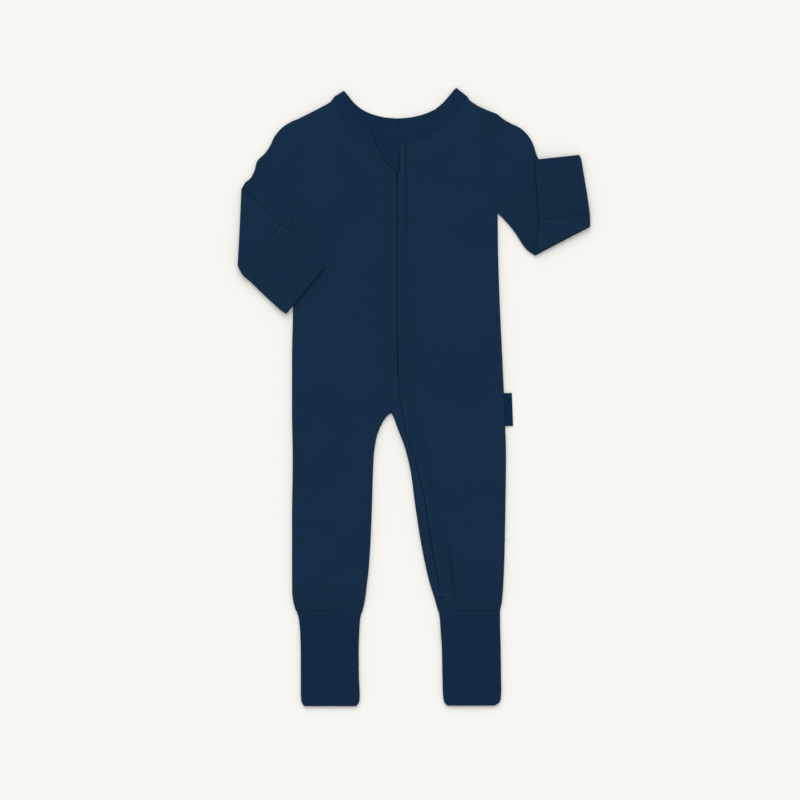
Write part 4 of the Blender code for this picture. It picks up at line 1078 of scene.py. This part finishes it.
def tape(name, edge, side, inseam):
    """One half of the zip's woven tape, a thin flat strip under its lip."""
    ys = np.linspace(ZIP_TOP_Y, ZIP_END_Y, 150)
    inner = zip_spread(ys, TAPE_INNER, TAPE_OPEN_INNER)
    outer = zip_spread(ys, TAPE_OUTER, TAPE_OPEN_OUTER)
    free, across = zip_line(edge, ys)
    if inseam:
        room = np.where(ys < CROTCH_Y, np.abs(free[:, 0] - edge_x(inseam, ys)), np.inf)
        outer = np.minimum(outer, room - TAPE_MARGIN)
    shares = np.linspace(0, 1, 9)
    reach = inner[:, None] + shares[None, :] * (outer - inner)[:, None]
    plan = free[:, None] + side * across[:, None] * reach[..., None]
    top = FRONT_UNDER + TAPE - 0.12 * np.abs(2 * shares - 1) ** 6
    flat = np.stack([reach, np.broadcast_to(ys[:, None], reach.shape)], axis=-1)
    return shell(name, with_height(plan, top[None, :]), with_height(plan, FRONT_UNDER), flat)


def repeated(name, unit, unit_faces, places, ways, lifts):
    """Copies of one small form: each is turned about the vertical so that its own x runs along its way.

    A copy's point is place + x way + y (way turned by a quarter) + (z + lift) up.
    """
    unit = np.asarray(unit, dtype=float)
    along = np.column_stack([ways, np.zeros(len(ways))])
    across = np.column_stack([-ways[:, 1], ways[:, 0], np.zeros(len(ways))])
    starts = np.column_stack([places, lifts])
    x, y, z = (unit[None, :, k:k + 1] for k in range(3))
    points = starts[:, None] + x * along[:, None] + y * across[:, None] + z * UP
    faces = np.asarray(unit_faces)[None] + (np.arange(len(places)) * len(unit))[:, None, None]
    return put_mesh(name, points.reshape(-1, 3), faces.reshape(-1, faces.shape[-1]))


def bead(length, width, height, around=6, rows=4):
    """A small pad: rings of a superellipse along x that narrow to a pinhole at both ends."""
    s = np.linspace(-1, 1, rows + 2)
    size = np.maximum((1 - np.abs(s) ** 2.5) ** 0.5, 0.04)
    turn = np.arange(around) * 2 * np.pi / around
    points = np.stack([np.broadcast_to(s[:, None] * length / 2, (rows + 2, around)),
                       size[:, None] * np.cos(turn)[None] * width / 2,
                       size[:, None] * np.sin(turn)[None] * height / 2], axis=-1)
    return points.reshape(-1, 3), quads(rows + 2, around, True)


def teeth(name, edge, side):
    """The teeth of one half of the zip: small beads that cross the tape's edge, one every TOOTH_PITCH.

    The two halves are half a pitch out of step, and there are no teeth under the slider.
    """
    run_ys = np.linspace(ZIP_TOP_Y - 2, ZIP_END_Y + 3, 900)
    run = run_along(edge_points(edge, run_ys))
    ys = np.interp(np.arange(TOOTH_PITCH * (0.5 if side > 0 else 1.0), run[-1], TOOTH_PITCH), run, run_ys)
    ys = ys[(ys < SLIDER_LOW_Y - SLIDER_CLEAR) | (ys > SLIDER_TOP_Y + SLIDER_CLEAR)]
    free, across = zip_line(edge, ys)
    reach = zip_spread(ys, TOOTH_REACH, TAPE_OPEN_INNER - 0.2)
    unit, faces = bead(2.6, 1.15, 1.1)
    places = free + side * across * reach[:, None]
    return repeated(name, unit, faces, places, across, np.full(len(ys), FRONT_UNDER + TAPE + 0.45))


def stitches(name, lines, length=2.3, pitch=3.0, width=0.4):
    """Rows of lockstitch: each stitch is a small bead along its line, half sunk in the cloth.

    lines are lists of (x, y, z) points on the cloth.
    """
    places, ways, lifts = [], [], []
    for line in lines:
        line = np.asarray(line, dtype=float)
        run = run_along(line)
        stops = np.arange(pitch / 2, run[-1], pitch)
        at = np.stack([np.interp(stops, run, line[:, k]) for k in range(3)], axis=-1)
        on = np.stack([np.interp(stops + 0.5, run, line[:, k]) for k in range(2)], axis=-1)
        before = np.stack([np.interp(stops - 0.5, run, line[:, k]) for k in range(2)], axis=-1)
        way = on - before
        places.append(at[:, :2])
        ways.append(way / np.maximum(np.linalg.norm(way, axis=1), 1e-6)[:, None])
        lifts.append(at[:, 2])
    unit, faces = bead(length, width, width * 0.8, around=5, rows=3)
    return repeated(name, unit, faces, np.vstack(places), np.vstack(ways), np.concatenate(lifts))


def laid_on(items, line):
    """Points about 1.5 mm apart along a line in plan, set down on the uppermost of the given cloths."""
    trees = [BVHTree.FromObject(item, bpy.context.evaluated_depsgraph_get()) for item in items]
    points = []
    for x, y in flowing(line, 1.5):
        hits = [tree.ray_cast((x * MM, y * MM, 0.1), (0.0, 0.0, -1.0))[0] for tree in trees]
        heights = [hit.z / MM for hit in hits if hit]
        if heights:
            points.append((x, y, max(heights) + STITCH_RISE))
    return points


def front_sewing(name, front, seam, band_rows, side):
    """The topstitching of one front: a row beside the lip's seam and a row below the neckband's seam."""
    ys = np.linspace(seam[0].y - 2, seam[-1].y + 4, 80)
    beside_lip = edge_points(seam, ys) + (side * TOPSTITCH, 0.0)
    rows = np.array(band_rows[:-1], dtype=float)
    way = rows[:, 2:] - rows[:, :2]
    below_band = rows[:, 2:] + TOPSTITCH * way / np.linalg.norm(way, axis=1)[:, None]
    return stitches(name, [laid_on([front], beside_lip), laid_on([front], below_band)])


def end_bar(name, lips):
    """The bar tack across both lips where the zip ends: four short rows, close together."""
    lines = []
    for step in range(4):
        y = ZIP_END_Y + 1.0 - 0.45 * step
        x = float(edge_x(ZIP_EDGE_LEFT, y))
        lines.append(laid_on(lips, [(x - 1.9, y + 0.4), (x, y), (x + 1.9, y - 0.4)]))
    return stitches(name, lines, length=1.2, pitch=1.2)


def guard(name):
    """The soft guard behind the open top: straight rows from its right edge to its left, bulging a little.

    The bulge is a smooth step over the 9 mm next to the edges.
    """
    rows = flowing(GUARD_ROWS, 2.0)
    shares = columns_between(20.0, (0.0, 0.3, 0.8), 16)
    right, left = rows[:, None, :2], rows[:, None, 2:]
    plan = right + shares[None, :, None] * (left - right)
    under = BAND + LAYER_GAP
    edge = np.minimum(shares, 1 - shares)[None, :] * np.linalg.norm(left - right, axis=-1)
    top_edge = np.linalg.norm(plan - plan[:1], axis=-1)
    from_right = shares[None, :] * np.linalg.norm(left - right, axis=-1)
    near = np.minimum(np.where(rows[:, None, 1] > 250, from_right, edge), top_edge)
    fold = rounded(near, 1.2, 0.4)
    swell = 0.35 * smooth_step(edge / 9.0)
    return shell(name, with_height(plan, under + GUARD - fold + swell),
                 with_height(plan, under + 0.4 * fold + swell * 0.6), plan)


def label_tab(name):
    """A blank folded tab in the side seam: two woven layers with a rounded fold, sinking to the floor."""
    ys = np.linspace(*LABEL_Y, 60)
    root = edge_x(SIDE_LEFT, ys) - LABEL_TUCK
    reach = LABEL_REACH + LABEL_TUCK
    round_steps = np.sin(np.linspace(0, np.pi / 2, 8))[1:]
    s = np.concatenate([np.linspace(0, reach - LABEL_FOLD, 18), reach + (round_steps - 1) * LABEL_FOLD])
    plan = np.stack([root[:, None] + s[None, :], np.broadcast_to(ys[:, None], (len(ys), len(s)))], axis=-1)
    curl = 0.25 * np.sin(np.pi * (ys - ys[0]) / (ys[-1] - ys[0])) + 0.1 * np.sin(ys / 4.0)
    sag = LABEL_DROOP * smooth_step(s / reach)
    middle = TUBE_HALF - sag[None, :] + curl[:, None] * smooth_step(s / reach)[None, :]
    half = LABEL / 2 - 0.9 * rounded(reach - s, LABEL_FOLD, LABEL / 2)
    flat = np.stack(np.broadcast_arrays(s[None, :], ys[:, None]), axis=-1)
    return shell(name, with_height(plan, middle + half), with_height(plan, middle - half), flat)


# ---------------------------------------------------------------- shader maths

COURSE, RIB_COURSE = 0.8, 0.75      # height in millimetres of a knit stitch, in jersey and in rib


class Socket:
    """One output of a node in a material; arithmetic on it adds Math nodes."""

    def __init__(self, surface, output):
        self.surface, self.output = surface, output

    def _maths(self, operation, *values):
        return self.surface.node("ShaderNodeMath", {"operation": operation}, dict(enumerate(values)))

    def __add__(self, other):
        return self._maths("ADD", self, other)

    def __sub__(self, other):
        return self._maths("SUBTRACT", self, other)

    def __rsub__(self, other):
        return self._maths("SUBTRACT", other, self)

    def __mul__(self, other):
        return self._maths("MULTIPLY", self, other)

    def __truediv__(self, other):
        return self._maths("DIVIDE", self, other)

    def __pow__(self, other):
        return self._maths("POWER", self, other)

    def __abs__(self):
        return self._maths("ABSOLUTE", self)

    def clipped(self):
        """Kept between 0 and 1."""
        return self._maths("MAXIMUM", self._maths("MINIMUM", self, 1.0), 0.0)

    def part(self):
        """What is left over a whole number."""
        return self._maths("FRACT", self)

    def sine(self):
        return self._maths("SINE", self)

    __radd__ = __add__
    __rmul__ = __mul__


class Surface:
    """A material whose nodes are added one by one."""

    def __init__(self, name):
        self.material = bpy.data.materials.new(name)
        self.material.use_nodes = True
        self.nodes = self.material.node_tree.nodes
        self.links = self.material.node_tree.links
        self.shader = self.nodes["Principled BSDF"]

    def node(self, kind, settings=None, sockets=None, output=0):
        """Adds one node: its settings first, then the values or links of its sockets."""
        node = self.nodes.new(kind)
        for key, value in (settings or {}).items():
            setattr(node, key, value)
        for key, value in (sockets or {}).items():
            self.put(node.inputs[key], value)
        return Socket(self, node.outputs[output])

    def put(self, socket, value):
        """Links the socket to another, or gives it a value of its own."""
        if isinstance(value, Socket):
            self.links.new(value.output, socket)
        else:
            socket.default_value = value

    def set(self, **values):
        """Sets the shader's own sockets; an underscore stands for a space in a name."""
        for key, value in values.items():
            self.put(self.shader.inputs[key.replace("_", " ")], value)

    def cloth_place(self):
        """Place on the flat cloth in millimetres: across the wales and along them."""
        uv = self.node("ShaderNodeUVMap", {"uv_map": "cloth"})
        across = self.node("ShaderNodeSeparateXYZ", sockets={0: uv})
        along = Socket(self, across.output.node.outputs[1])
        return across / MM, along / MM

    def noise(self, place, scale, detail=2.0, roughness=0.5):
        return self.node("ShaderNodeTexNoise", sockets={"Vector": place, "Scale": scale, "Detail": detail,
                                                        "Roughness": roughness})

    def place(self):
        """Place in the object, in metres."""
        return self.node("ShaderNodeTexCoord", output=3)

    def mix(self, factor, first, second):
        """first where factor is 0, second where it is 1."""
        return self.node("ShaderNodeMix", {"data_type": "RGBA"}, {0: factor, 6: first, 7: second}, output=2)

    def bump(self, height, distance):
        """Height 0 to 1 stands for distance, in metres."""
        self.set(Normal=self.node("ShaderNodeBump", sockets={"Distance": distance, "Height": height}))


def scaled(colour, factor):
    """A colour made lighter or darker."""
    return tuple(channel * factor for channel in colour)


def shade(colour, factor):
    """A colour made lighter or darker, with its alpha."""
    return scaled(colour, factor) + (1.0,)


def set_cotton(m, colour, dye_and_shade, dark, light, roughness):
    """The finish that knit and rib share: matt cotton with a faint sheen of pile."""
    m.set(Base_Color=m.mix(dye_and_shade, shade(colour, dark), shade(colour, light)),
          Roughness=m.noise(m.place(), 30.0) * 0.1 + roughness,
          Specular_IOR_Level=0.08, Sheen_Weight=0.015, Sheen_Roughness=0.45,
          Sheen_Tint=shade([min(1.0, channel * 9) for channel in colour], 1.0))


def knit_material(name, colour, wale):
    """Plain knit: columns of small V-shaped stitches, with soft unevenness of dye and pile, and painted shade
    that darkens the colour where the stitches lie low.

    The height is |sin| across each wale, and the courses lean away from the middle
    of the wale, so that each stitch is a V.
    """
    m = Surface(name)
    across, along = m.cloth_place()
    object_place = m.place()
    wander = m.noise(object_place, 55.0, 2.0) - 0.5
    wale_part = (across / wale + wander * 0.25).part() - 0.5
    lean = abs(wale_part) * 1.1
    course_part = (along / COURSE + lean + wander * 0.3).part() - 0.5
    rib = 1.0 - abs(wale_part) * 2.0
    stitch = (1.0 - abs(course_part) * 2.0) * 0.55 + rib * 0.45
    pile = m.noise(object_place, 2600.0, 1.0)
    cloud = m.noise(object_place, 9.0, 3.0, 0.55)
    fleck = m.noise(object_place, 900.0, 2.0)
    # Colour: random clouds and flecks of dye, plus painted shade where the stitches lie low
    dye_and_shade = (cloud * 0.55 + stitch * 0.3 + fleck * 0.3 - 0.05).clipped()
    set_cotton(m, colour, dye_and_shade, 0.8, 1.2, 0.8)
    m.bump(stitch * 0.8 + pile * 0.35, 0.00016)
    return m.material


def rib_material(name, colour, rib, along_cloth):
    """Doubled 1 x 1 rib: rounded columns of stitches with a channel between them, where painted shade darkens
    the colour.

    The ribs run along the cloth's length, or across it where along_cloth is true.
    """
    m = Surface(name)
    across, along = m.cloth_place()
    if along_cloth:
        across, along = along, across
    object_place = m.place()
    wander = m.noise(object_place, 40.0, 1.0) - 0.5
    rib_part = (across / rib + wander * 0.2 + 0.5).part() - 0.5
    crown = (1.0 - abs(rib_part) * 2.0).clipped() ** 0.6
    course_part = (along / RIB_COURSE + abs(rib_part) * 1.3).part() - 0.5
    stitch = 1.0 - abs(course_part) * 2.0
    fleck = m.noise(object_place, 1200.0, 2.0)
    # Colour: painted shade in the channels between ribs and between courses, plus random flecks
    dye_and_shade = (crown * 0.55 + stitch * 0.15 + fleck * 0.3).clipped()
    set_cotton(m, colour, dye_and_shade, 0.74, 1.16, 0.82)
    m.bump(crown * 0.8 + stitch * 0.2, 0.00028)
    return m.material


def woven_material(name, colour, warp, weft, roughness, shine):
    """Plain weave: warp and weft threads, as wide as given in millimetres, over each other by turns, with
    painted shade where a thread dips under another.
    """
    m = Surface(name)
    across, along = m.cloth_place()
    thread = (across * (np.pi / warp)).sine() * (along * (np.pi / weft)).sine() * 0.5 + 0.5
    fleck = m.noise(m.place(), 1400.0, 2.0)
    # Colour: painted shade where a thread dips, plus random flecks
    dye_and_shade = (thread * 0.6 + fleck * 0.4).clipped()
    m.set(Base_Color=m.mix(dye_and_shade, shade(colour, 0.75), shade(colour, 1.2)),
          Roughness=thread * 0.1 + roughness, Specular_IOR_Level=shine)
    m.bump(thread, 0.00006)
    return m.material


def thread_material(name, colour, gloss):
    """Spun polyester sewing thread: fine uneven plies and a slight gloss."""
    m = Surface(name)
    ply = m.noise(m.place(), 3000.0, 1.0)
    m.set(Base_Color=m.mix(ply, shade(colour, 0.75), shade(colour, 1.25)),
          Roughness=ply * 0.15 + 0.6, Specular_IOR_Level=gloss)
    m.bump(ply, 0.00005)
    return m.material


def moulded_material(name, colour):
    """Dyed plastic of the zip teeth: satin, with a very fine grain."""
    m = Surface(name)
    grain = m.noise(m.place(), 1800.0, 1.0)
    m.set(Base_Color=m.mix(grain, shade(colour, 0.9), shade(colour, 1.15)), Roughness=grain * 0.12 + 0.5,
          Specular_IOR_Level=0.05)
    m.bump(grain, 0.00002)
    return m.material


def enamel_material(name, colour):
    """Enamelled metal of the slider, worn a little brighter on a few spots."""
    m = Surface(name)
    object_place = m.place()
    worn = ((m.noise(object_place, 260.0, 3.0) - 0.58) * 9.0).clipped()
    grain = m.noise(object_place, 900.0, 2.0)
    m.set(Base_Color=m.mix(worn * 0.08, shade(colour, 0.6), (0.05, 0.07, 0.1, 1.0)),
          Metallic=worn * 0.2, Roughness=grain * 0.2 + 0.5, Specular_IOR_Level=0.08)
    m.bump(grain, 0.00002)
    return m.material


# ---------------------------------------------------------------- settings

class ClothSettings(PropertyGroup):
    jersey_colour: FloatVectorProperty(
        name="Jersey", description="Colour of the plain jersey and its stitches", subtype="COLOR",
        default=(0.0056, 0.0224, 0.0546))
    rib_colour: FloatVectorProperty(
        name="Rib", description="Colour of the ribbed cuffs and neckband", subtype="COLOR",
        default=(0.0045, 0.0204, 0.0536))
    trim_colour: FloatVectorProperty(
        name="Trim", description="Colour of the zip, its bar tack and the label", subtype="COLOR",
        default=(0.0026, 0.0195, 0.0540))
    wale: FloatProperty(
        name="Wale", description="Width of one column of knit stitches, in millimetres", default=0.95,
        min=0.3)
    rib_width: FloatProperty(
        name="Rib width", description="Width of one rib's colouring, in millimetres", default=RIB_PITCH,
        min=0.8)


class StageSettings(PropertyGroup):
    floor_size: FloatProperty(
        name="Floor", description="Side of the floor", default=6.0, min=1.0, subtype="DISTANCE",
        unit="LENGTH")
    camera_height: FloatProperty(
        name="Camera height", description="Height of the camera over the floor", default=4.0, min=1.0,
        subtype="DISTANCE", unit="LENGTH")
    view_width: FloatProperty(
        name="View", description="Width of floor that the camera sees", default=0.8, min=0.2,
        subtype="DISTANCE", unit="LENGTH")
    floor_colour: FloatVectorProperty(
        name="Floor colour", description="Colour of the floor", subtype="COLOR", default=(0.88, 0.871, 0.831))
    key_strength: FloatProperty(
        name="Key light", description="Strength of the soft light from beyond the neck", default=1.45,
        min=0.0)
    room_strength: FloatProperty(
        name="Room light", description="Strength of the even light from all round", default=0.76, min=0.0)


KEY_ELEVATION, KEY_TURN, KEY_SPREAD = 42.0, 6.0, 50.0      # of the key light, in degrees
VIEW_CENTRE = (-0.014, -0.003)      # point of the floor under the camera, in metres
SENSOR = 36.0       # width of the camera's, in millimetres
NARROWEST_CUT = 0.012       # width in metres of one half of the zip's tape, part of it hidden in the seam


def finish_piece(item, material, slot_name, *nodes):
    """Gives a piece its finish and its place in the body, and hides the solids that it stands for."""
    item.data.materials.clear()
    item.data.materials.append(material)
    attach(item, "root")
    if nodes:
        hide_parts(*nodes)


def flat_size(item):
    """Width and length of a piece's cut, and its area, which is half of its closed shell's; all in metres."""
    mesh = item.data
    count = len(mesh.polygons)
    area = np.zeros(count)
    mesh.polygons.foreach_get("area", area)
    places = np.zeros(len(mesh.loops) * 2)
    mesh.uv_layers["cloth"].data.foreach_get("uv", places)
    span = np.ptp(places.reshape(-1, 2), axis=0)
    return float(span[0]), float(span[1]), float(area.sum() / 2)


def declare(item):
    """Works out a piece's flat width, length and area, and does nothing further with them."""
    width, length, area = flat_size(item)
    width = max(width, NARROWEST_CUT)


def materials():
    """The finishes, made once and found again by name."""
    settings = bpy.context.scene.sleepsuit_cloth
    jersey, rib, trim = map(tuple, (settings.jersey_colour, settings.rib_colour, settings.trim_colour))
    wale, rib_width = settings.wale, settings.rib_width
    finishes = {
        "plain jersey": (knit_material, jersey, wale),
        # Painted shade: the guard's jersey is a darker copy in the rib's hue, for where it lies sunk behind
        # the lips
        "jersey of guard": (knit_material, scaled(rib, 0.95), wale),
        # Painted shade: the leg cuffs' rib is a slightly darker copy of the neckband's rib
        "rib of leg cuffs": (rib_material, scaled(rib, 0.96), rib_width, False),
        # Painted light: the sleeve cuffs' rib takes the lighter jersey colour, for how the light falls on the
        # cuffs turned over the sleeves
        "rib of sleeve cuffs": (rib_material, jersey, rib_width, False),
        "rib of neckband": (rib_material, rib, rib_width, True),
        "woven tape": (woven_material, trim, 0.5, 0.6, 0.7, 0.08),
        "label satin": (woven_material, trim, 0.25, 0.4, 0.75, 0.05),
        "thread": (thread_material, scaled(jersey, 0.96), 0.15),
        "bar thread": (thread_material, scaled(trim, 0.4), 0.02),
        "teeth": (moulded_material, trim),
        "slider enamel": (enamel_material, trim),
    }
    return {name: bpy.data.materials.get(name) or make(name, *values)
            for name, (make, *values) in finishes.items()}


class OBJECT_OT_sleepsuit_backs(Operator):
    """Make the two backs, which lie on the floor"""
    bl_idname = "sleepsuit.backs"
    bl_label = "Backs"

    def execute(self, context):
        jersey = materials()["plain jersey"]
        for side, edge, inseam, shoulder, band in (
                ("right", SIDE_RIGHT, INSEAM_RIGHT, SHOULDER_RIGHT, BAND_BACK_RIGHT),
                ("left", SIDE_LEFT, INSEAM_LEFT, SHOULDER_LEFT, BAND_BACK_LEFT)):
            item = back_panel(f"back_{side}_cloth", edge, inseam, shoulder, band)
            finish_piece(item, jersey, "jersey", f"back_{side}")
            declare(item)
        return {"FINISHED"}


class OBJECT_OT_sleepsuit_fronts(Operator):
    """Make the two fronts with their legs and topstitching"""
    bl_idname = "sleepsuit.fronts"
    bl_label = "Fronts"

    def execute(self, context):
        finish = materials()
        rows = (("right", SIDE_RIGHT, INSEAM_RIGHT, SHOULDER_RIGHT, BAND_FRONT_RIGHT, LIP_SEAM_RIGHT,
                 ZIP_EDGE_RIGHT, -1),
                ("left", SIDE_LEFT, None, SHOULDER_LEFT, BAND_FRONT_LEFT, LIP_SEAM_LEFT, ZIP_EDGE_LEFT, 1))
        for side, edge, inseam, shoulder, band, seam, zip_edge, way in rows:
            item = front_panel(f"front_{side}_cloth", edge, inseam, shoulder, band[::-1], seam, zip_edge)
            finish_piece(item, finish["plain jersey"], "jersey", f"front_{side}")
            sewing = front_sewing(f"front_{side}_sewing", item, seam, band, way)
            finish_piece(sewing, finish["thread"], "jersey")
            declare(item)
        return {"FINISHED"}


class OBJECT_OT_sleepsuit_zip(Operator):
    """Make the zip: lips, tapes, teeth, end bar and guard, and finish the slider and its pull"""
    bl_idname = "sleepsuit.zip"
    bl_label = "Zip"

    def execute(self, context):
        finish = materials()
        rows = (("right", ZIP_EDGE_RIGHT, LIP_SEAM_RIGHT, INSEAM_LEFT, BAND_FRONT_RIGHT, 1),
                ("left", ZIP_EDGE_LEFT, LIP_SEAM_LEFT, None, BAND_FRONT_LEFT, -1))
        lips = []
        for side, edge, seam, inseam, band, way in rows:
            lip = lip_strip(f"zip_lip_{side}_cloth", edge, seam, inseam, SEAM_DEPTHS[side]["lip"],
                            seam_of(band))
            finish_piece(lip, finish["plain jersey"], "jersey", f"zip_lip_{side}")
            lips.append(lip)
            strip = tape(f"zip_tape_{side}_cloth", edge, way, inseam)
            finish_piece(strip, finish["woven tape"], "zip_tape", f"zip_tape_{side}")
            row = teeth(f"zip_teeth_{side}", edge, way)
            finish_piece(row, finish["teeth"], "zip_tape")
            declare(strip)
        bar = end_bar("zip_end_bar", lips)
        finish_piece(bar, finish["bar thread"], "jersey")
        declare(lips[0])
        declare(lips[1])
        item = guard("zip_guard_cloth")
        finish_piece(item, finish["jersey of guard"], "jersey", "zip_guard")
        declare(item)
        for node in ("zip_slider", "zip_pull"):
            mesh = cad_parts[node].data
            mesh.materials.clear()
            mesh.materials.append(finish["slider enamel"])
        return {"FINISHED"}


class OBJECT_OT_sleepsuit_neckband(Operator):
    """Make the two halves of the neckband"""
    bl_idname = "sleepsuit.neckband"
    bl_label = "Neckband"

    def execute(self, context):
        rib = materials()["rib of neckband"]
        for side, front, back, drop in (("right", BAND_FRONT_RIGHT, BAND_BACK_RIGHT, 0.0),
                                        ("left", BAND_FRONT_LEFT, BAND_BACK_LEFT, 0.4)):
            item = neckband(f"neckband_{side}_cloth", front, back, drop)
            finish_piece(item, rib, "rib", f"neckband_{side}")
            declare(item)
        return {"FINISHED"}


class OBJECT_OT_sleepsuit_sleeves(Operator):
    """Make the two sleeves, each folded over once"""
    bl_idname = "sleepsuit.sleeves"
    bl_label = "Sleeves"

    def execute(self, context):
        jersey = materials()["plain jersey"]
        for side, arm, forearm, edge, below, above, taper, beside in (
                ("right", UPPER_ARM_RIGHT, FOREARM_RIGHT, SIDE_RIGHT, SLEEVE_RIGHT_CREASES,
                 FOREARM_RIGHT_CREASES, 9.0, 8.0),
                ("left", UPPER_ARM_LEFT, FOREARM_LEFT, SIDE_LEFT, SLEEVE_LEFT_CREASES,
                 FOREARM_LEFT_CREASES, EDGE_ROUND, 1.0)):
            item = sleeve(f"sleeve_{side}_cloth", arm, forearm, edge, below, above,
                          SEAM_DEPTHS[side]["armhole"], taper, beside)
            finish_piece(item, jersey, "jersey", f"sleeve_{side}")
            declare(item)
        return {"FINISHED"}


class OBJECT_OT_sleepsuit_cuffs(Operator):
    """Make the cuffs of the sleeves and legs"""
    bl_idname = "sleepsuit.cuffs"
    bl_label = "Cuffs"

    def execute(self, context):
        finish = materials()
        half = RIB + SLIT_HALF
        on_arm = FRONT_TOP + LAYER_GAP + half
        torso = edge_points(SIDE_RIGHT, np.linspace(ARMPIT_Y, 0, 10)).tolist() + [(0, 0), (0, ARMPIT_Y)]
        rows = (("sleeve_cuff_right", CUFF_RIGHT, on_arm, (tube_outline(UPPER_ARM_RIGHT), torso),
                 "sleeve_right", ((0, 0.3), (0.2, 0.25), (0.35, 0.04), (1, 0.02)), 12.0),
                ("sleeve_cuff_left", CUFF_LEFT, on_arm, (tube_outline(UPPER_ARM_LEFT),),
                 "sleeve_left", ((0, 0.3), (0.6, 0.3), (0.8, 0.45), (1, 0.3)), EDGE_ROUND),
                ("leg_cuff_right", LEG_CUFF_RIGHT, half, (), None,
                 ((0, 0.6), (0.5, 0.6), (0.62, 0.06), (1, 0.04)), EDGE_ROUND),
                ("leg_cuff_left", LEG_CUFF_LEFT, half, (), None,
                 ((0, 0.06), (0.15, 0.6), (0.6, 0.6), (0.75, 0.08), (1, 0.06)), EDGE_ROUND))
        for name, table, level, supports, under, seam_depths, taper in rows:
            item = cuff(f"{name}_cloth", table, level, supports, seam_depths, taper)
            finish_piece(item, finish["rib of sleeve cuffs" if under else "rib of leg cuffs"], "rib", name)
            declare(item)
        return {"FINISHED"}


class OBJECT_OT_sleepsuit_label(Operator):
    """Make the blank label tab in the left side seam"""
    bl_idname = "sleepsuit.label"
    bl_label = "Label"

    def execute(self, context):
        item = label_tab("side_label_cloth")
        finish_piece(item, materials()["label satin"], "label", "side_label")
        declare(item)
        return {"FINISHED"}


class OBJECT_OT_sleepsuit_stage(Operator):
    """Make the floor, the lights and the camera"""
    bl_idname = "sleepsuit.stage"
    bl_label = "Stage"

    def execute(self, context):
        settings = context.scene.sleepsuit_stage
        scene = context.scene
        half = settings.floor_size / 2
        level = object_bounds()[0][2] - 0.02 * MM
        corners = np.array([(-half, -half, level), (half, -half, level), (half, half, level),
                            (-half, half, level)]) / MM
        floor = put_mesh("floor", corners, np.array([[0, 1, 2, 3]]), smooth=False)
        if floor.data.polygons[0].normal.z < 0:
            floor.data.flip_normals()
        surface = Surface("pale floor")
        grain = surface.noise(surface.place(), 3.0, 2.0)
        colour = tuple(settings.floor_colour)
        surface.set(Base_Color=surface.mix(grain, shade(colour, 0.995), shade(colour, 1.005)), Roughness=0.95,
                    Specular_IOR_Level=0.1)
        floor.data.materials.append(surface.material)
        floor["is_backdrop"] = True

        key = bpy.data.lights.new("key light", "SUN")
        key.energy = settings.key_strength
        key.angle = np.radians(KEY_SPREAD)
        light = bpy.data.objects.new("key light", key)
        light.location = (0.0, 2.0, 2.0)
        light.rotation_euler = (-np.radians(90.0 - KEY_ELEVATION), 0.0, np.radians(KEY_TURN))
        scene.collection.objects.link(light)
        world = bpy.data.worlds.new("room")
        world.use_nodes = True
        background = world.node_tree.nodes["Background"]
        background.inputs["Color"].default_value = (1.0, 1.0, 1.0, 1.0)
        background.inputs["Strength"].default_value = settings.room_strength
        scene.world = world
        scene.view_settings.view_transform = "Standard"
        scene.view_settings.look = "None"

        data = bpy.data.cameras.new("camera")
        data.sensor_width = SENSOR
        data.lens = SENSOR * settings.camera_height / settings.view_width
        data.clip_end = 50.0
        camera = bpy.data.objects.new("camera", data)
        camera.location = (*VIEW_CENTRE, settings.camera_height)
        scene.collection.objects.link(camera)
        scene.camera = camera
        return {"FINISHED"}


PIECES = ("backs", "fronts", "zip", "neckband", "sleeves", "cuffs", "label")


class VIEW3D_PT_sleepsuit(Panel):
    """The settings, and a button for each group of pieces"""
    bl_label = "Sleepsuit"
    bl_idname = "VIEW3D_PT_sleepsuit"
    bl_space_type = "VIEW_3D"
    bl_region_type = "UI"
    bl_category = "Sleepsuit"

    def draw(self, context):
        for settings in (context.scene.sleepsuit_cloth, context.scene.sleepsuit_stage):
            for name in settings.__annotations__:
                self.layout.prop(settings, name)
        for name in PIECES + ("stage",):
            self.layout.operator(f"sleepsuit.{name}")


CLASSES = (ClothSettings, StageSettings, OBJECT_OT_sleepsuit_backs, OBJECT_OT_sleepsuit_fronts,
           OBJECT_OT_sleepsuit_zip, OBJECT_OT_sleepsuit_neckband, OBJECT_OT_sleepsuit_sleeves,
           OBJECT_OT_sleepsuit_cuffs, OBJECT_OT_sleepsuit_label, OBJECT_OT_sleepsuit_stage,
           VIEW3D_PT_sleepsuit)


def register():
    for item in CLASSES:
        bpy.utils.register_class(item)
    bpy.types.Scene.sleepsuit_cloth = PointerProperty(type=ClothSettings)
    bpy.types.Scene.sleepsuit_stage = PointerProperty(type=StageSettings)


def unregister():
    del bpy.types.Scene.sleepsuit_stage
    del bpy.types.Scene.sleepsuit_cloth
    for item in reversed(CLASSES):
        bpy.utils.unregister_class(item)


def main():
    """Makes every piece and the stage."""
    register()
    for name in PIECES + ("stage",):
        if getattr(bpy.ops.sleepsuit, name)() != {"FINISHED"}:
            raise RuntimeError(f"the step {name} did not finish")


if __name__ == "__main__":
    main()
